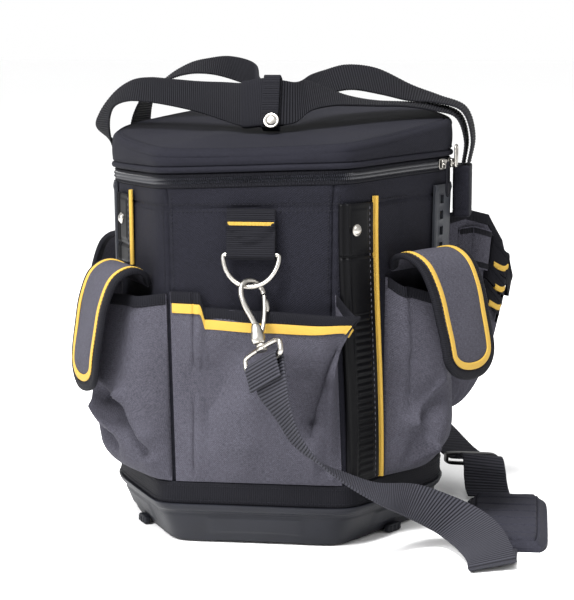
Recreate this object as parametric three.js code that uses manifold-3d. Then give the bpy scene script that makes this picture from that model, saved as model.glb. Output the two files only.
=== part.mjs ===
// A six-sided tool bag: a fabric body in a moulded tray, with a zipped padded lid, outside pockets with
// flaps, two webbing handles, and a shoulder strap that hangs from the front ring and lies on the floor.
// Millimetres, +Z up. The front faces -Y, and the origin is the middle of the tray's flat underside.

import * as THREE from "three";
import { mergeVertices } from "three/addons/utils/BufferGeometryUtils.js";
import Module from "manifold-3d";

const { degToRad, lerp, clamp, smoothstep } = THREE.MathUtils;
const wasm = await Module();
wasm.setup();

// Driving dimensions
const GAP = 0.3; // clearance between pieces that touch
const CLOTH = 2; // pocket cloth
const WALL = 3; // padded body wall
const WEBBING = 1.8; // strap and handle webbing
const STRAP_WIDTH = 40;
const HANDLE_WIDTH = 38;
const RIM_Z = 34; // top of the tray
const ZIP_Z = 297; // level of the widest plan
const ZIP_RISE = 5.5; // the zip stands this much higher at the right side than in the middle
const BODY_TOP = 288;
const LID_BOTTOM = 300.3;
const LID_CROWN = 334;
const BODY_INSET = 3.4; // body wall behind the tray's outer face
const BAND_TOP = 52;
const POCKET_BOTTOM = BAND_TOP + 0.6;
const RING_SECTIONS = 48; // sections round the body, tray, band, zip and lid
const HALF_SECTION = 180 / RING_SECTIONS; // degrees between the columns of pieces that hug the body
const CORNER_POWER = 26; // how sharply neighbouring facets of the plan meet

// The plan's facets: azimuth in degrees from the front, turning to the right, and distance from the
// bag's axis at the underside, at the tray's rim and at the zip.
const FACETS = [
  { azimuth: 0, base: 123, rim: 135, zip: 146 },
  { azimuth: 61, base: 118, rim: 133, zip: 137 },
  { azimuth: 90, base: 124, rim: 140, zip: 148 },
  { azimuth: 119, base: 118, rim: 133, zip: 137 },
  { azimuth: 180, base: 123, rim: 135, zip: 146 },
  { azimuth: 241, base: 118, rim: 133, zip: 136 },
  { azimuth: 270, base: 122, rim: 137, zip: 141 },
  { azimuth: 299, base: 118, rim: 133, zip: 136 },
];

const bag = new THREE.Group();
bag.name = "tool_bag";

function finish(colour, roughness, metalness = 0) {
  return new THREE.MeshStandardMaterial({ color: colour, roughness, metalness });
}

const BLACK_CLOTH = () => finish(0x24252c, 0.95);
const GREY_CLOTH = () => finish(0x74727a, 0.95);
const YELLOW_TRIM = () => finish(0xf0c040, 0.7);
const BLACK_WEBBING = () => finish(0x1d1e22, 0.85);
const TRAY_PLASTIC = () => finish(0x34363c, 0.6);
const GREY_PLASTIC = () => finish(0x6b6d73, 0.55);
const NICKEL = () => finish(0xc9c6c0, 0.3, 1);

function add(name, geometry, material, parent = bag) {
  const mesh = new THREE.Mesh(geometry, material);
  mesh.name = name;
  parent.add(mesh);
  return mesh;
}

// Geometry helpers

function signedVolume(geometry) {
  const position = geometry.attributes.position;
  const index = geometry.index;
  const [a, b, c] = [new THREE.Vector3(), new THREE.Vector3(), new THREE.Vector3()];
  let volume = 0;
  for (let i = 0; i < index.count; i += 3) {
    a.fromBufferAttribute(position, index.getX(i));
    b.fromBufferAttribute(position, index.getX(i + 1));
    c.fromBufferAttribute(position, index.getX(i + 2));
    volume += a.dot(b.cross(c)) / 6;
  }
  return volume;
}

// Welds a geometry's seams and turns its faces outwards.
function closed(geometry) {
  const bare = geometry.clone();
  bare.deleteAttribute("normal");
  bare.deleteAttribute("uv");
  const merged = mergeVertices(bare, 1e-3);
  if (signedVolume(merged) < 0) {
    const index = merged.index;
    for (let i = 0; i < index.count; i += 3) {
      const second = index.getX(i + 1);
      index.setX(i + 1, index.getX(i + 2));
      index.setX(i + 2, second);
    }
  }
  return merged;
}

function toSolid(geometry) {
  const mesh = closed(geometry);
  return new wasm.Manifold(
    new wasm.Mesh({
      numProp: 3,
      vertProperties: mesh.attributes.position.array,
      triVerts: new Uint32Array(mesh.index.array),
    }),
  );
}

function toGeometry(solid) {
  const mesh = solid.getMesh();
  const geometry = new THREE.BufferGeometry();
  geometry.setAttribute("position", new THREE.BufferAttribute(new Float32Array(mesh.vertProperties), 3));
  geometry.setIndex(new THREE.BufferAttribute(new Uint32Array(mesh.triVerts), 1));
  return geometry;
}

function joined(...geometries) {
  return toGeometry(geometries.map(toSolid).reduce((sum, solid) => sum.add(solid)));
}

function cut(geometry, tools) {
  return toGeometry(tools.map(toSolid).reduce((left, tool) => left.subtract(tool), toSolid(geometry)));
}

// A thick sheet of columns by rows: place gives the point at a column's number, a share of the height
// and a share of the thickness.
function thickSheet(columns, rows, place) {
  const geometry = new THREE.BoxGeometry(1, 1, 1, columns, rows, 1);
  const position = geometry.attributes.position;
  for (let i = 0; i < position.count; i++) {
    const column = Math.round((position.getX(i) + 0.5) * columns);
    const point = place(column, position.getY(i) + 0.5, position.getZ(i) + 0.5);
    position.setXYZ(i, point.x, point.y, point.z);
  }
  // The back's cells are split along the same diagonals as the front's, so that a twisted sheet keeps its thickness.
  const back = geometry.groups[5];
  for (let i = back.start; i < back.start + back.count; i += 6) {
    const [a, b, d, , c] = geometry.index.array.slice(i, i + 5);
    geometry.index.array.set([a, b, c, a, c, d], i);
  }
  return closed(geometry);
}

// A body of revolution whose rows are then placed on the bag's plan, by row and azimuth in degrees.
function ringSolid(rows, place) {
  const stations = rows.map((row, i) => new THREE.Vector2(1 + i, i));
  const geometry = new THREE.LatheGeometry(stations, RING_SECTIONS);
  const position = geometry.attributes.position;
  for (let i = 0; i < position.count; i++) {
    const section = Math.floor(i / rows.length) % RING_SECTIONS;
    const point = place(rows[i % rows.length], (360 * section) / RING_SECTIONS);
    position.setXYZ(i, point.x, point.y, point.z);
  }
  return closed(geometry);
}

// A round wire along a curve.
function wire(points, radius, steps, sides = 8) {
  const shape = new THREE.Shape();
  for (let i = 0; i < sides; i++) {
    const angle = (2 * Math.PI * i) / sides;
    const x = radius * Math.cos(angle);
    const y = radius * Math.sin(angle);
    if (i === 0) shape.moveTo(x, y);
    else shape.lineTo(x, y);
  }
  shape.closePath();
  const extrudePath = new THREE.CatmullRomCurve3(points);
  return closed(new THREE.ExtrudeGeometry(shape, { steps, extrudePath, bevelEnabled: false }));
}

// A closed wire loop: outline gives the loop's point at a share of its length, and facing the loop's normal.
function wireLoop(outline, facing, radius, steps, sides = 6) {
  const geometry = new THREE.TorusGeometry(1, 0.25, sides, steps);
  const position = geometry.attributes.position;
  const normal = facing.clone().normalize();
  for (let i = 0; i < position.count; i++) {
    const share = (i % (steps + 1)) / steps;
    const turn = (2 * Math.PI * Math.floor(i / (steps + 1))) / sides;
    const middle = outline(share % 1);
    const ahead = outline((share + 0.002) % 1);
    const side = ahead.clone().sub(outline((share + 0.998) % 1)).normalize().cross(normal);
    middle.addScaledVector(side, radius * Math.cos(turn)).addScaledVector(normal, radius * Math.sin(turn));
    position.setXYZ(i, middle.x, middle.y, middle.z);
  }
  return closed(geometry);
}

// A flat outline given a depth, both ways from its own plane.
function slab(shape, depth) {
  const geometry = new THREE.ExtrudeGeometry(shape, { depth, bevelEnabled: false, curveSegments: 2 });
  return closed(geometry.translate(0, 0, -depth / 2));
}

function roundedRectangle(width, height, radius, outline = new THREE.Shape()) {
  const [x, y] = [width / 2, height / 2];
  outline.moveTo(-x + radius, -y);
  outline.lineTo(x - radius, -y);
  outline.absarc(x - radius, -y + radius, radius, -Math.PI / 2, 0);
  outline.absarc(x - radius, y - radius, radius, 0, Math.PI / 2);
  outline.absarc(-x + radius, y - radius, radius, Math.PI / 2, Math.PI);
  outline.absarc(-x + radius, -y + radius, radius, Math.PI, 1.5 * Math.PI);
  return outline;
}

// Reads a column of a table at a place between its rows, easing from row to row.
function readTable(table, key, at, column) {
  const last = table.length - 1;
  if (at <= table[0][key]) return table[0][column];
  if (at >= table[last][key]) return table[last][column];
  const next = table.findIndex((row) => row[key] > at);
  const share = (at - table[next - 1][key]) / (table[next][key] - table[next - 1][key]);
  return lerp(table[next - 1][column], table[next][column], smoothstep(share, 0, 1));
}

// The bag's plan

function radial(azimuth) {
  const angle = degToRad(azimuth);
  return new THREE.Vector3(Math.sin(angle), -Math.cos(angle), 0);
}

function planRadius(azimuth, z) {
  let sum = 0;
  for (const facet of FACETS) {
    const low = lerp(facet.base, facet.rim, clamp(z / RIM_Z, 0, 1));
    const rise = clamp((z - RIM_Z) / (ZIP_Z - RIM_Z), 0, 1);
    const distance = z < RIM_Z ? low : lerp(facet.rim, facet.zip, rise);
    const facing = Math.cos(degToRad(azimuth - facet.azimuth));
    if (facing > 0) sum += (facing / distance) ** CORNER_POWER;
  }
  return sum ** (-1 / CORNER_POWER);
}

function wallNormal(azimuth, z) {
  const ahead = radial(azimuth + 0.5).multiplyScalar(planRadius(azimuth + 0.5, z));
  const behind = radial(azimuth - 0.5).multiplyScalar(planRadius(azimuth - 0.5, z));
  const tangent = ahead.sub(behind).normalize();
  return new THREE.Vector3(tangent.y, -tangent.x, 0);
}

// A point on the body's outer face, or out from it.
function wallPoint(azimuth, z, out = 0) {
  const point = radial(azimuth).multiplyScalar(planRadius(azimuth, z) - BODY_INSET);
  point.addScaledVector(wallNormal(azimuth, z), out);
  point.z = z;
  return point;
}

function zipRise(azimuth) {
  return ZIP_RISE * Math.sin(degToRad(azimuth));
}

// Azimuths from one edge to the other: the edges, and the ring sections' own azimuths between them.
function azimuthStops(from, to, step = 360 / RING_SECTIONS) {
  const stops = [from];
  for (let i = Math.ceil((from + 0.6) / step); i * step < to - 0.6; i++) stops.push(i * step);
  stops.push(to);
  return stops;
}

// A row of a ring's profile: share of the plan's radius, then inset from it, at a height.
function onPlan(row, azimuth) {
  const z = typeof row.z === "function" ? row.z(azimuth) : row.z;
  const point = radial(azimuth).multiplyScalar(planRadius(azimuth, z) * row.share - (row.inset ?? 0));
  point.z = z;
  return point;
}

// Tray and feet

const TRAY_WALL = 3;
const TRAY_LIP = 1.5;
const TRAY_ARCH = 2.2; // the lower edge lifts this much between the corners
const TRAY_FLOOR = 3.2;

function trayArch(azimuth) {
  const facets = FACETS.map((facet) => Math.cos(degToRad(azimuth - facet.azimuth)));
  return TRAY_ARCH * smoothstep(Math.max(...facets), 0.93, 1);
}

const trayRows = [
  { share: 0, z: 0 },
  { share: 1, inset: 7, z: 0 },
  { share: 1, inset: 0, z: (azimuth) => 2.5 + trayArch(azimuth) },
  { share: 1, inset: 0, z: RIM_Z - 6 },
  { share: 1, inset: -TRAY_LIP, z: RIM_Z - 4.5 },
  { share: 1, inset: -TRAY_LIP, z: RIM_Z },
  { share: 1, inset: TRAY_WALL, z: RIM_Z },
  { share: 1, inset: TRAY_WALL, z: TRAY_FLOOR },
  { share: 0, z: TRAY_FLOOR },
];
add("base_tray", ringSolid(trayRows, onPlan), TRAY_PLASTIC());

const FOOT = { width: 20, height: 7, reach: 6, azimuths: [58, 122, 238, 302] };
FOOT.azimuths.forEach((azimuth, i) => {
  const foot = thickSheet(3, 2, (column, up, depth) => {
    const side = column / 3 - 0.5;
    const z = FOOT.height * up;
    const swell = 1 - 3 * side * side - 0.25 * up;
    const middle = radial(azimuth).multiplyScalar(planRadius(azimuth, z) + GAP + FOOT.reach * swell * depth);
    const normal = wallNormal(azimuth, z);
    const tangent = new THREE.Vector3(-normal.y, normal.x, 0);
    return middle.addScaledVector(tangent, side * FOOT.width).setZ(z);
  });
  add(`foot_${i + 1}`, foot, TRAY_PLASTIC());
});

// Body, band, zip and lid

const bodyInside = BODY_INSET + WALL;
const bodyTop = (azimuth) => BODY_TOP + zipRise(azimuth);
const bodyFloor = TRAY_FLOOR + 0.4;
const BODY_MIDDLE = 160;
const TRAY_SLACK = 1.2; // the body narrows this much more than the tray towards the floor
const bodyRows = [
  { share: 0, z: bodyFloor },
  { share: 1, inset: BODY_INSET + TRAY_SLACK, z: bodyFloor },
  { share: 1, inset: BODY_INSET, z: RIM_Z },
  { share: 1, inset: BODY_INSET, z: BODY_MIDDLE },
  { share: 1, inset: BODY_INSET, z: bodyTop },
  { share: 1, inset: bodyInside, z: bodyTop },
  { share: 1, inset: bodyInside, z: BODY_MIDDLE },
  { share: 1, inset: bodyInside, z: RIM_Z },
  { share: 1, inset: bodyInside, z: bodyFloor + WALL },
  { share: 0, z: bodyFloor + WALL },
];
add("body_shell", ringSolid(bodyRows, onPlan), BLACK_CLOTH());

const bandRows = [
  { share: 1, inset: BODY_INSET - GAP, z: RIM_Z + GAP },
  { share: 1, inset: BODY_INSET - GAP - CLOTH, z: RIM_Z + GAP },
  { share: 1, inset: BODY_INSET - GAP - CLOTH, z: BAND_TOP },
  { share: 1, inset: BODY_INSET - GAP, z: BAND_TOP },
];
add("bottom_band", ringSolid([...bandRows, bandRows[0]], onPlan), BLACK_WEBBING());

const TAPE_INSET = 5.6; // inner face of the zip's tape
const CHAIN_INSET = 1.6; // outer face of its teeth
const zipRows = [
  { share: 1, inset: TAPE_INSET, z: (azimuth) => bodyTop(azimuth) + GAP },
  { share: 1, inset: BODY_INSET, z: (azimuth) => bodyTop(azimuth) + GAP },
  { share: 1, inset: CHAIN_INSET, z: (azimuth) => bodyTop(azimuth) + 6.5 },
  { share: 1, inset: BODY_INSET, z: (azimuth) => LID_BOTTOM + zipRise(azimuth) - GAP },
  { share: 1, inset: TAPE_INSET, z: (azimuth) => LID_BOTTOM + zipRise(azimuth) - GAP },
];
add("zip_band", ringSolid([...zipRows, zipRows[0]], onPlan), BLACK_CLOTH());

const LID_SEAM = { middle: 331, back: 14, right: 5.5 }; // height of the top seam, higher at the back and right
const LID_PAD = 5;

function lidSeam(azimuth) {
  const angle = degToRad(azimuth);
  return LID_SEAM.middle - LID_SEAM.back * Math.cos(angle) + LID_SEAM.right * Math.sin(angle);
}

// The padded top sinks from its crown to the seam.
function lidTop(share, drop = 0) {
  return (azimuth) => lerp(LID_CROWN, lidSeam(azimuth), share ** 1.4) - drop;
}

const lidFoot = (azimuth) => LID_BOTTOM + zipRise(azimuth);
const lidRows = [
  { share: 0, z: lidTop(0) },
  { share: 0.5, z: lidTop(0.5) },
  { share: 0.92, z: lidTop(0.92) },
  { share: 1, inset: 0.5, z: lidTop(1) },
  { share: 1, inset: 1.5, z: lidFoot },
  { share: 1, inset: TAPE_INSET, z: lidFoot },
  { share: 1, inset: TAPE_INSET, z: lidTop(1, LID_PAD) },
  { share: 0.6, z: lidTop(0.65, LID_PAD) },
  { share: 0, z: lidTop(0, LID_PAD) },
];
add("lid", ringSolid(lidRows, onPlan), BLACK_CLOTH());

// Zip sliders on the right side, one with a metal puller standing up and one with a cord puller hanging

const SLIDER = { width: 11, height: 9, depth: 5 };
const SLIDERS = [
  { azimuth: 79, name: "zip_slider_1", seat: -0.15 },
  { azimuth: 86, name: "zip_slider_2", seat: -0.35 },
];
const PULLERS = [
  { azimuth: 79, name: "zip_pull_1", width: 6, depth: 2, low: -26, high: 2, material: BLACK_WEBBING() },
  { azimuth: 86, name: "zip_pull_2", width: 7, depth: 2, low: -3, high: 15, material: NICKEL() },
];

// A block that stands on the wall at an azimuth, given across, up and out sizes.
function wallBlock(azimuth, z, across, up, out, standOff) {
  const normal = wallNormal(azimuth, z);
  const block = new THREE.BoxGeometry(across, out, up);
  block.rotateZ(Math.atan2(normal.x, -normal.y));
  const middle = wallPoint(azimuth, z, standOff + out / 2);
  return closed(block.translate(middle.x, middle.y, middle.z));
}

const chainOut = BODY_INSET - CHAIN_INSET;
for (const { azimuth, name, seat } of SLIDERS) {
  const z = bodyTop(azimuth) + 6.5;
  add(name, wallBlock(azimuth, z, SLIDER.width, SLIDER.height, SLIDER.depth, chainOut + seat), NICKEL());
}
for (const { azimuth, name, width, depth, low, high, material } of PULLERS) {
  const z = bodyTop(azimuth) + 6.5 + (low + high) / 2;
  const standOff = chainOut + GAP + SLIDER.depth;
  add(name, wallBlock(azimuth, z, width, high - low, depth, standOff), material);
}

// Moulded strips with their rivets and the yellow piping beside each

const STRIP = { thick: 2.8, top: 276, grooveZ: 234, ribFrom: 58, ribTo: 190, ribPitch: 12, ribLift: 1 };
const STRIP_STAND = 0.6; // the strip's back from the body, which turns a corner under it
const STRIPS = [
  { name: "front", from: 25.5, to: 38.2, bottom: BAND_TOP + 1.5, shift: 3.6, spread: 5.3, ribbed: true },
  { name: "left", from: -71, to: -55.2, bottom: 219, shift: 0, spread: 0, ribbed: false },
  { name: "rear", from: 205.5, to: 218.2, bottom: BAND_TOP + 1.5, shift: 3.6, spread: 5.3, ribbed: false },
];
const RIVET = { radius: 4, height: 2.2, z: 255, across: 0.4 };
const PIPING = { radius: 1.6, offset: 1.5, top: 280 };

for (const { name, from, to, bottom, shift, spread, ribbed } of STRIPS) {
  // Towards the strip's foot its left edge moves right by the shift, and its right edge by the spread.
  const start = (z) => from + shift * (1 - smoothstep(z, bottom, STRIP.top));
  const edge = (z) => to + spread * (1 - smoothstep(z, bottom, STRIP.top));
  const stops = azimuthStops(from, to, HALF_SECTION);
  const levels = [bottom];
  const ribs = ribbed ? Math.floor((STRIP.ribTo - STRIP.ribFrom) / STRIP.ribPitch) : 0;
  for (let i = 0; i < ribs; i++) {
    levels.push(STRIP.ribFrom + i * STRIP.ribPitch, STRIP.ribFrom + (i + 0.5) * STRIP.ribPitch);
  }
  levels.push(STRIP.grooveZ - 2, STRIP.grooveZ, STRIP.grooveZ + 2, STRIP.top);
  const strip = thickSheet(stops.length - 1, levels.length - 1, (column, up, depth) => {
    const row = Math.round(up * (levels.length - 1));
    const z = levels[row];
    const onRib = row > 0 && row <= 2 * ribs && row % 2 === 0;
    const inGroove = z === STRIP.grooveZ;
    const lift = (onRib ? STRIP.ribLift : 0) - (inGroove ? STRIP.ribLift : 0);
    const last = column === stops.length - 1;
    const azimuth = last ? edge(z) : Math.max(stops[column], start(z) + 0.4 * column);
    return wallPoint(azimuth, z, STRIP_STAND + depth * (STRIP.thick + lift));
  });
  add(`corner_strip_${name}`, strip, TRAY_PLASTIC());

  const middle = lerp(from, to, RIVET.across);
  const dome = [
    new THREE.Vector2(0, 0),
    new THREE.Vector2(RIVET.radius, 0),
    new THREE.Vector2(0.75 * RIVET.radius, 0.8 * RIVET.height),
    new THREE.Vector2(0, RIVET.height),
  ];
  const rivet = new THREE.LatheGeometry(dome, 12);
  const seat = wallPoint(middle, RIVET.z, STRIP_STAND + STRIP.thick + GAP);
  const turn = new THREE.Quaternion().setFromUnitVectors(
    new THREE.Vector3(0, 1, 0),
    wallNormal(middle, RIVET.z),
  );
  rivet.applyQuaternion(turn);
  add(`strip_rivet_${name}`, closed(rivet.translate(seat.x, seat.y, seat.z)), NICKEL());

  const run = [];
  for (let i = 0; i <= 6; i++) {
    const z = lerp(bottom, PIPING.top, i / 6);
    run.push(wallPoint(edge(z) + PIPING.offset, z, PIPING.radius + STRIP_STAND));
  }
  add(`piping_${name}`, wire(run, PIPING.radius, 6, 6), YELLOW_TRIM());
}

// Slotted side plates under the handle ends

const PLATE = { thick: 2.6, bottom: 70, top: 283, rows: 6, slot: 6, slotTall: 7, slotPitch: 13, firstSlot: 206 };
const PLATES = [
  { name: "right", from: 75, to: 105, columns: [79.5, 100.5] },
  { name: "left", from: -105, to: -75, columns: [] },
];
for (const { name, from, to, columns } of PLATES) {
  const stops = azimuthStops(from, to);
  const plate = thickSheet(stops.length - 1, 1, (column, up, depth) => {
    return wallPoint(stops[column], lerp(PLATE.bottom, PLATE.top, up), STRIP_STAND + depth * PLATE.thick);
  });
  const slots = [];
  for (const azimuth of columns) {
    for (let i = 0; i < PLATE.rows; i++) {
      const z = PLATE.firstSlot + i * PLATE.slotPitch;
      slots.push(wallBlock(azimuth, z, PLATE.slot, PLATE.slotTall, 3 * PLATE.thick, -PLATE.thick));
    }
  }
  add(`side_plate_${name}`, cut(plate, slots), GREY_PLASTIC());
}

// Pockets: each is a cloth wall sewn down at its sides and bottom, standing off the body by its mouth
// table and swelling into a belly below. Across runs from 0 at the left edge to 1 at the right.

const FLAP_POCKET_MOUTH = [
  { across: 0, z: 214, out: 0 },
  { across: 0.14, z: 206, out: 13 },
  { across: 0.5, z: 199, out: 30 },
  { across: 0.86, z: 206, out: 16 },
  { across: 1, z: 216, out: 0 },
];
const POCKETS = {
  front_pocket: {
    from: -25.4,
    to: 25,
    spread: 3, // the right edge follows the strip's, which moves right towards its foot
    lean: 9.5, // the mouth's right corner falls out and over the strip
    bottom: POCKET_BOTTOM,
    belly: 5,
    mouth: [
      { across: 0, z: 205, out: 0 },
      { across: 0.17, z: 205, out: 2.5 },
      { across: 0.2, z: 193, out: 2.5 },
      { across: 0.55, z: 192, out: 11 },
      { across: 0.88, z: 191, out: 25 },
      { across: 0.94, z: 189.5, out: 26 },
      { across: 1, z: 205, out: 0 },
    ],
    folds: [{ across: 0.86, up: 0.5, wide: 0.06, tall: 0.4, depth: -5 }],
    material: GREY_CLOTH(),
  },
  pocket_right: {
    from: 46.4,
    to: 74.3,
    bottom: POCKET_BOTTOM,
    belly: 25,
    sag: 0.55,
    mouth: FLAP_POCKET_MOUTH,
    folds: [
      { across: 0.45, up: 0.3, wide: 0.12, tall: 0.12, depth: -7 },
      { across: 0.75, up: 0.2, wide: 0.1, tall: 0.2, depth: 4 },
    ],
    material: GREY_CLOTH(),
  },
  pocket_left: {
    from: -72,
    to: -26.6,
    bottom: POCKET_BOTTOM,
    belly: 25,
    sag: 0.52,
    mouth: [
      { across: 0, z: 214, out: 0 },
      { across: 0.14, z: 206, out: 13 },
      { across: 0.5, z: 199, out: 30 },
      { across: 0.86, z: 200, out: 16 },
      { across: 1, z: 203, out: 0 },
    ],
    folds: [
      { across: 0.42, up: 0.5, wide: 0.1, tall: 0.08, depth: -10 },
      { across: 0.6, up: 0.28, wide: 0.1, tall: 0.14, depth: 5 },
      { across: 0.3, up: 0.22, wide: 0.1, tall: 0.06, depth: -6 },
    ],
    material: GREY_CLOTH(),
  },
  pocket_rear_left: {
    plain: true,
    from: 226.4,
    to: 254.3,
    bottom: POCKET_BOTTOM,
    belly: 25,
    mouth: FLAP_POCKET_MOUTH,
    folds: [{ across: 0.45, up: 0.3, wide: 0.12, tall: 0.12, depth: -7 }],
    material: GREY_CLOTH(),
  },
  rear_pocket: {
    plain: true,
    from: 155,
    to: 203.6,
    bottom: POCKET_BOTTOM,
    belly: 5,
    mouth: [
      { across: 0, z: 205, out: 0 },
      { across: 0.1, z: 194, out: 5 },
      { across: 0.5, z: 182, out: 8 },
      { across: 0.9, z: 194, out: 5 },
      { across: 1, z: 205, out: 0 },
    ],
    folds: [],
    material: GREY_CLOTH(),
  },
  tool_pocket: {
    from: 105.9,
    to: 150,
    bottom: POCKET_BOTTOM + 26,
    belly: 4,
    rise: 0.32,
    columns: [0, 0.03, 0.06, 0.09, 0.13, 0.25, 0.4, 0.6, 0.75, 0.85, 0.93, 1],
    mouth: [
      { across: 0, z: 250, out: 0 },
      { across: 0.03, z: 256, out: 26 },
      { across: 0.06, z: 250, out: 50 },
      { across: 0.09, z: 228, out: 65 },
      { across: 0.13, z: 205, out: 74 },
      { across: 0.75, z: 203, out: 56 },
      { across: 0.93, z: 225, out: 24 },
      { across: 1, z: 250, out: 0 },
    ],
    folds: [],
    material: GREY_CLOTH(),
  },
};

// A point of a pocket's cloth, lifted off its inner face.
function pocketPoint(spec, across, up, lift = 0) {
  const lean = (spec.lean ?? 0) * up ** 3 * Math.sin(Math.PI * across ** 4);
  const azimuth = lerp(spec.from, spec.to + (spec.spread ?? 0) * (1 - up), across) + lean;
  const z = lerp(spec.bottom, readTable(spec.mouth, "across", across, "z"), up);
  const sewn = Math.min(1, 8 * across, 8 * (1 - across), 10 * up);
  const rise = spec.rise ?? 0.7; // the lower the number, the sooner the cloth stands off above its foot
  let out = readTable(spec.mouth, "across", across, "out") * up ** rise;
  const sag = spec.sag ?? 0.75; // the lower the number, the lower the belly hangs
  out += spec.belly * Math.sin(Math.PI * up ** sag) * Math.sin(Math.PI * across) ** 0.7;
  for (const fold of spec.folds) {
    const far = ((across - fold.across) / fold.wide) ** 2 + ((up - fold.up) / fold.tall) ** 2;
    out += sewn * fold.depth * Math.exp(-far);
  }
  return wallPoint(azimuth, z, GAP + Math.max(0, out) + lift);
}

// The way out of a pocket's cloth. Along the sewn edges it is the body's own.
function clothNormal(spec, across, up) {
  const azimuth = lerp(spec.from, spec.to, across);
  const edge = Math.min(1, 12 * across, 12 * (1 - across), 8 * up);
  const step = 0.01;
  const [left, right] = [Math.max(0, across - step), Math.min(1, across + step)];
  const [low, high] = [Math.max(0, up - step), Math.min(1, up + step)];
  const along = pocketPoint(spec, right, up).sub(pocketPoint(spec, left, up));
  const rise = pocketPoint(spec, across, high).sub(pocketPoint(spec, across, low));
  const normal = along.cross(rise).normalize();
  return normal.lerp(wallNormal(azimuth, spec.bottom), 1 - edge).normalize();
}

const POCKET_ROWS = 7;
for (const [name, spec] of Object.entries(POCKETS)) {
  const stops = azimuthStops(spec.from, spec.to, spec.plain ? 2 * HALF_SECTION : HALF_SECTION);
  const columns = spec.columns ?? stops.map((azimuth) => (azimuth - spec.from) / (spec.to - spec.from));
  const cloth = thickSheet(columns.length - 1, POCKET_ROWS, (column, up, depth) => {
    const inner = pocketPoint(spec, columns[column], up);
    return inner.addScaledVector(clothNormal(spec, columns[column], up), depth * CLOTH);
  });
  add(name, cloth, spec.material);
}

// Small tool slots on the near side of the tool pocket: loops of webbing sewn at both ends
const TOOL_SLOTS = [
  { name: "tool_slot_1", from: 0.02, to: 0.06, low: 0.72, high: 0.92, belly: 7, material: GREY_CLOTH() },
  { name: "tool_slot_2", from: 0.07, to: 0.132, low: 0.79, high: 0.93, belly: 8, material: BLACK_WEBBING() },
  { name: "tool_slot_3", from: 0.065, to: 0.118, low: 0.69, high: 0.775, belly: 8, material: BLACK_WEBBING() },
  { name: "tool_slot_4", from: 0.055, to: 0.115, low: 0.575, high: 0.665, belly: 8, material: BLACK_WEBBING() },
];

for (const { name, from, to, low, high, belly, material } of TOOL_SLOTS) {
  const spec = POCKETS.tool_pocket;
  const columns = 6;
  const slot = thickSheet(columns, 2, (column, up, depth) => {
    const share = column / columns;
    const across = lerp(from, to, share);
    const level = lerp(low, high, up);
    const swell = belly * Math.sin(Math.PI * share) ** 0.6;
    const point = pocketPoint(spec, across, level);
    return point.addScaledVector(clothNormal(spec, across, level), CLOTH + 2 * GAP + swell + depth * 1.5);
  });
  add(name, slot, material);
}

// Flaps: strips sewn to the body above a pocket's mouth, arching over it and hanging down in front.
// Out and z are measured from the body, and half is half the flap's width.

const FLAP_THICK = 3;
const FLAP_PATH = [
  { out: 1.9, z: 219, half: 29 },
  { out: 8, z: 229, half: 35 },
  { out: 20, z: 232, half: 39 },
  { out: 34, z: 225, half: 39 },
  { out: 45, z: 206, half: 38 },
  { out: 52, z: 182, half: 37 },
  { out: 58, z: 157, half: 36 },
  { out: 60, z: 134, half: 35 },
];
const FLAP_ROUND = 0.85; // share of the length where the tip begins to round
// Tuck draws a flap's tip in by a share of its stand-off, and drop lowers the whole flap.
const FLAPS = [
  { name: "flap_right", azimuth: 61, tuck: 0, drop: 0 },
  { name: "flap_left", azimuth: -46, tuck: 0.2, drop: 12 },
  { name: "flap_rear_left", azimuth: 241, tuck: 0, drop: 0 },
];

function flapPoint({ azimuth, tuck, drop }, side, along, lift) {
  const steps = FLAP_PATH.length - 1;
  const rows = FLAP_PATH.map(({ out, z, half }, i) => {
    return new THREE.Vector3(out * (1 - (tuck * i) / steps), z - drop, half);
  });
  const curve = new THREE.CatmullRomCurve3(rows);
  const here = curve.getPoint(along);
  const ahead = curve.getPoint(Math.min(1, along + 0.5 / steps));
  const behind = curve.getPoint(Math.max(0, along - 0.5 / steps));
  const slope = ahead.sub(behind).setZ(0).normalize();
  const tip = clamp((along - FLAP_ROUND) / (1 - FLAP_ROUND), 0, 1);
  const half = here.z * Math.max(0.3, Math.sqrt(1 - tip * tip));
  const facing = wallNormal(azimuth, here.y);
  const tangent = new THREE.Vector3(-facing.y, facing.x, 0);
  const point = wallPoint(azimuth, here.y, here.x - slope.y * lift);
  point.z += slope.x * lift;
  return point.addScaledVector(tangent, side * half);
}

for (const spec of FLAPS) {
  const columns = 6;
  const flap = thickSheet(columns, 10, (column, along, depth) => {
    const side = (2 * column) / columns - 1;
    const crown = 2.5 * (1 - side * side) * smoothstep(along, 0, 0.3);
    return flapPoint(spec, side, along, (depth - 0.5) * FLAP_THICK + crown);
  });
  add(spec.name, flap, GREY_CLOTH());
}

// D-rings in their webbing tabs, at the middle of the front and of the back

const RING = { wire: 1.6, half: 22, drop: 25, lean: degToRad(14), barZ: 236, barOut: 6.6 };
const TAB = { width: 38.4, top: 272, layers: 4, hole: 2.4, wrap: 4.2 };

function ringOutline(share) {
  if (share < 0.7) {
    const angle = (Math.PI * share) / 0.7;
    return new THREE.Vector3(RING.half * Math.cos(angle), 0, -RING.drop * Math.sin(angle));
  }
  return new THREE.Vector3(lerp(-RING.half, RING.half, (share - 0.7) / 0.3), 0, 0);
}

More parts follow.
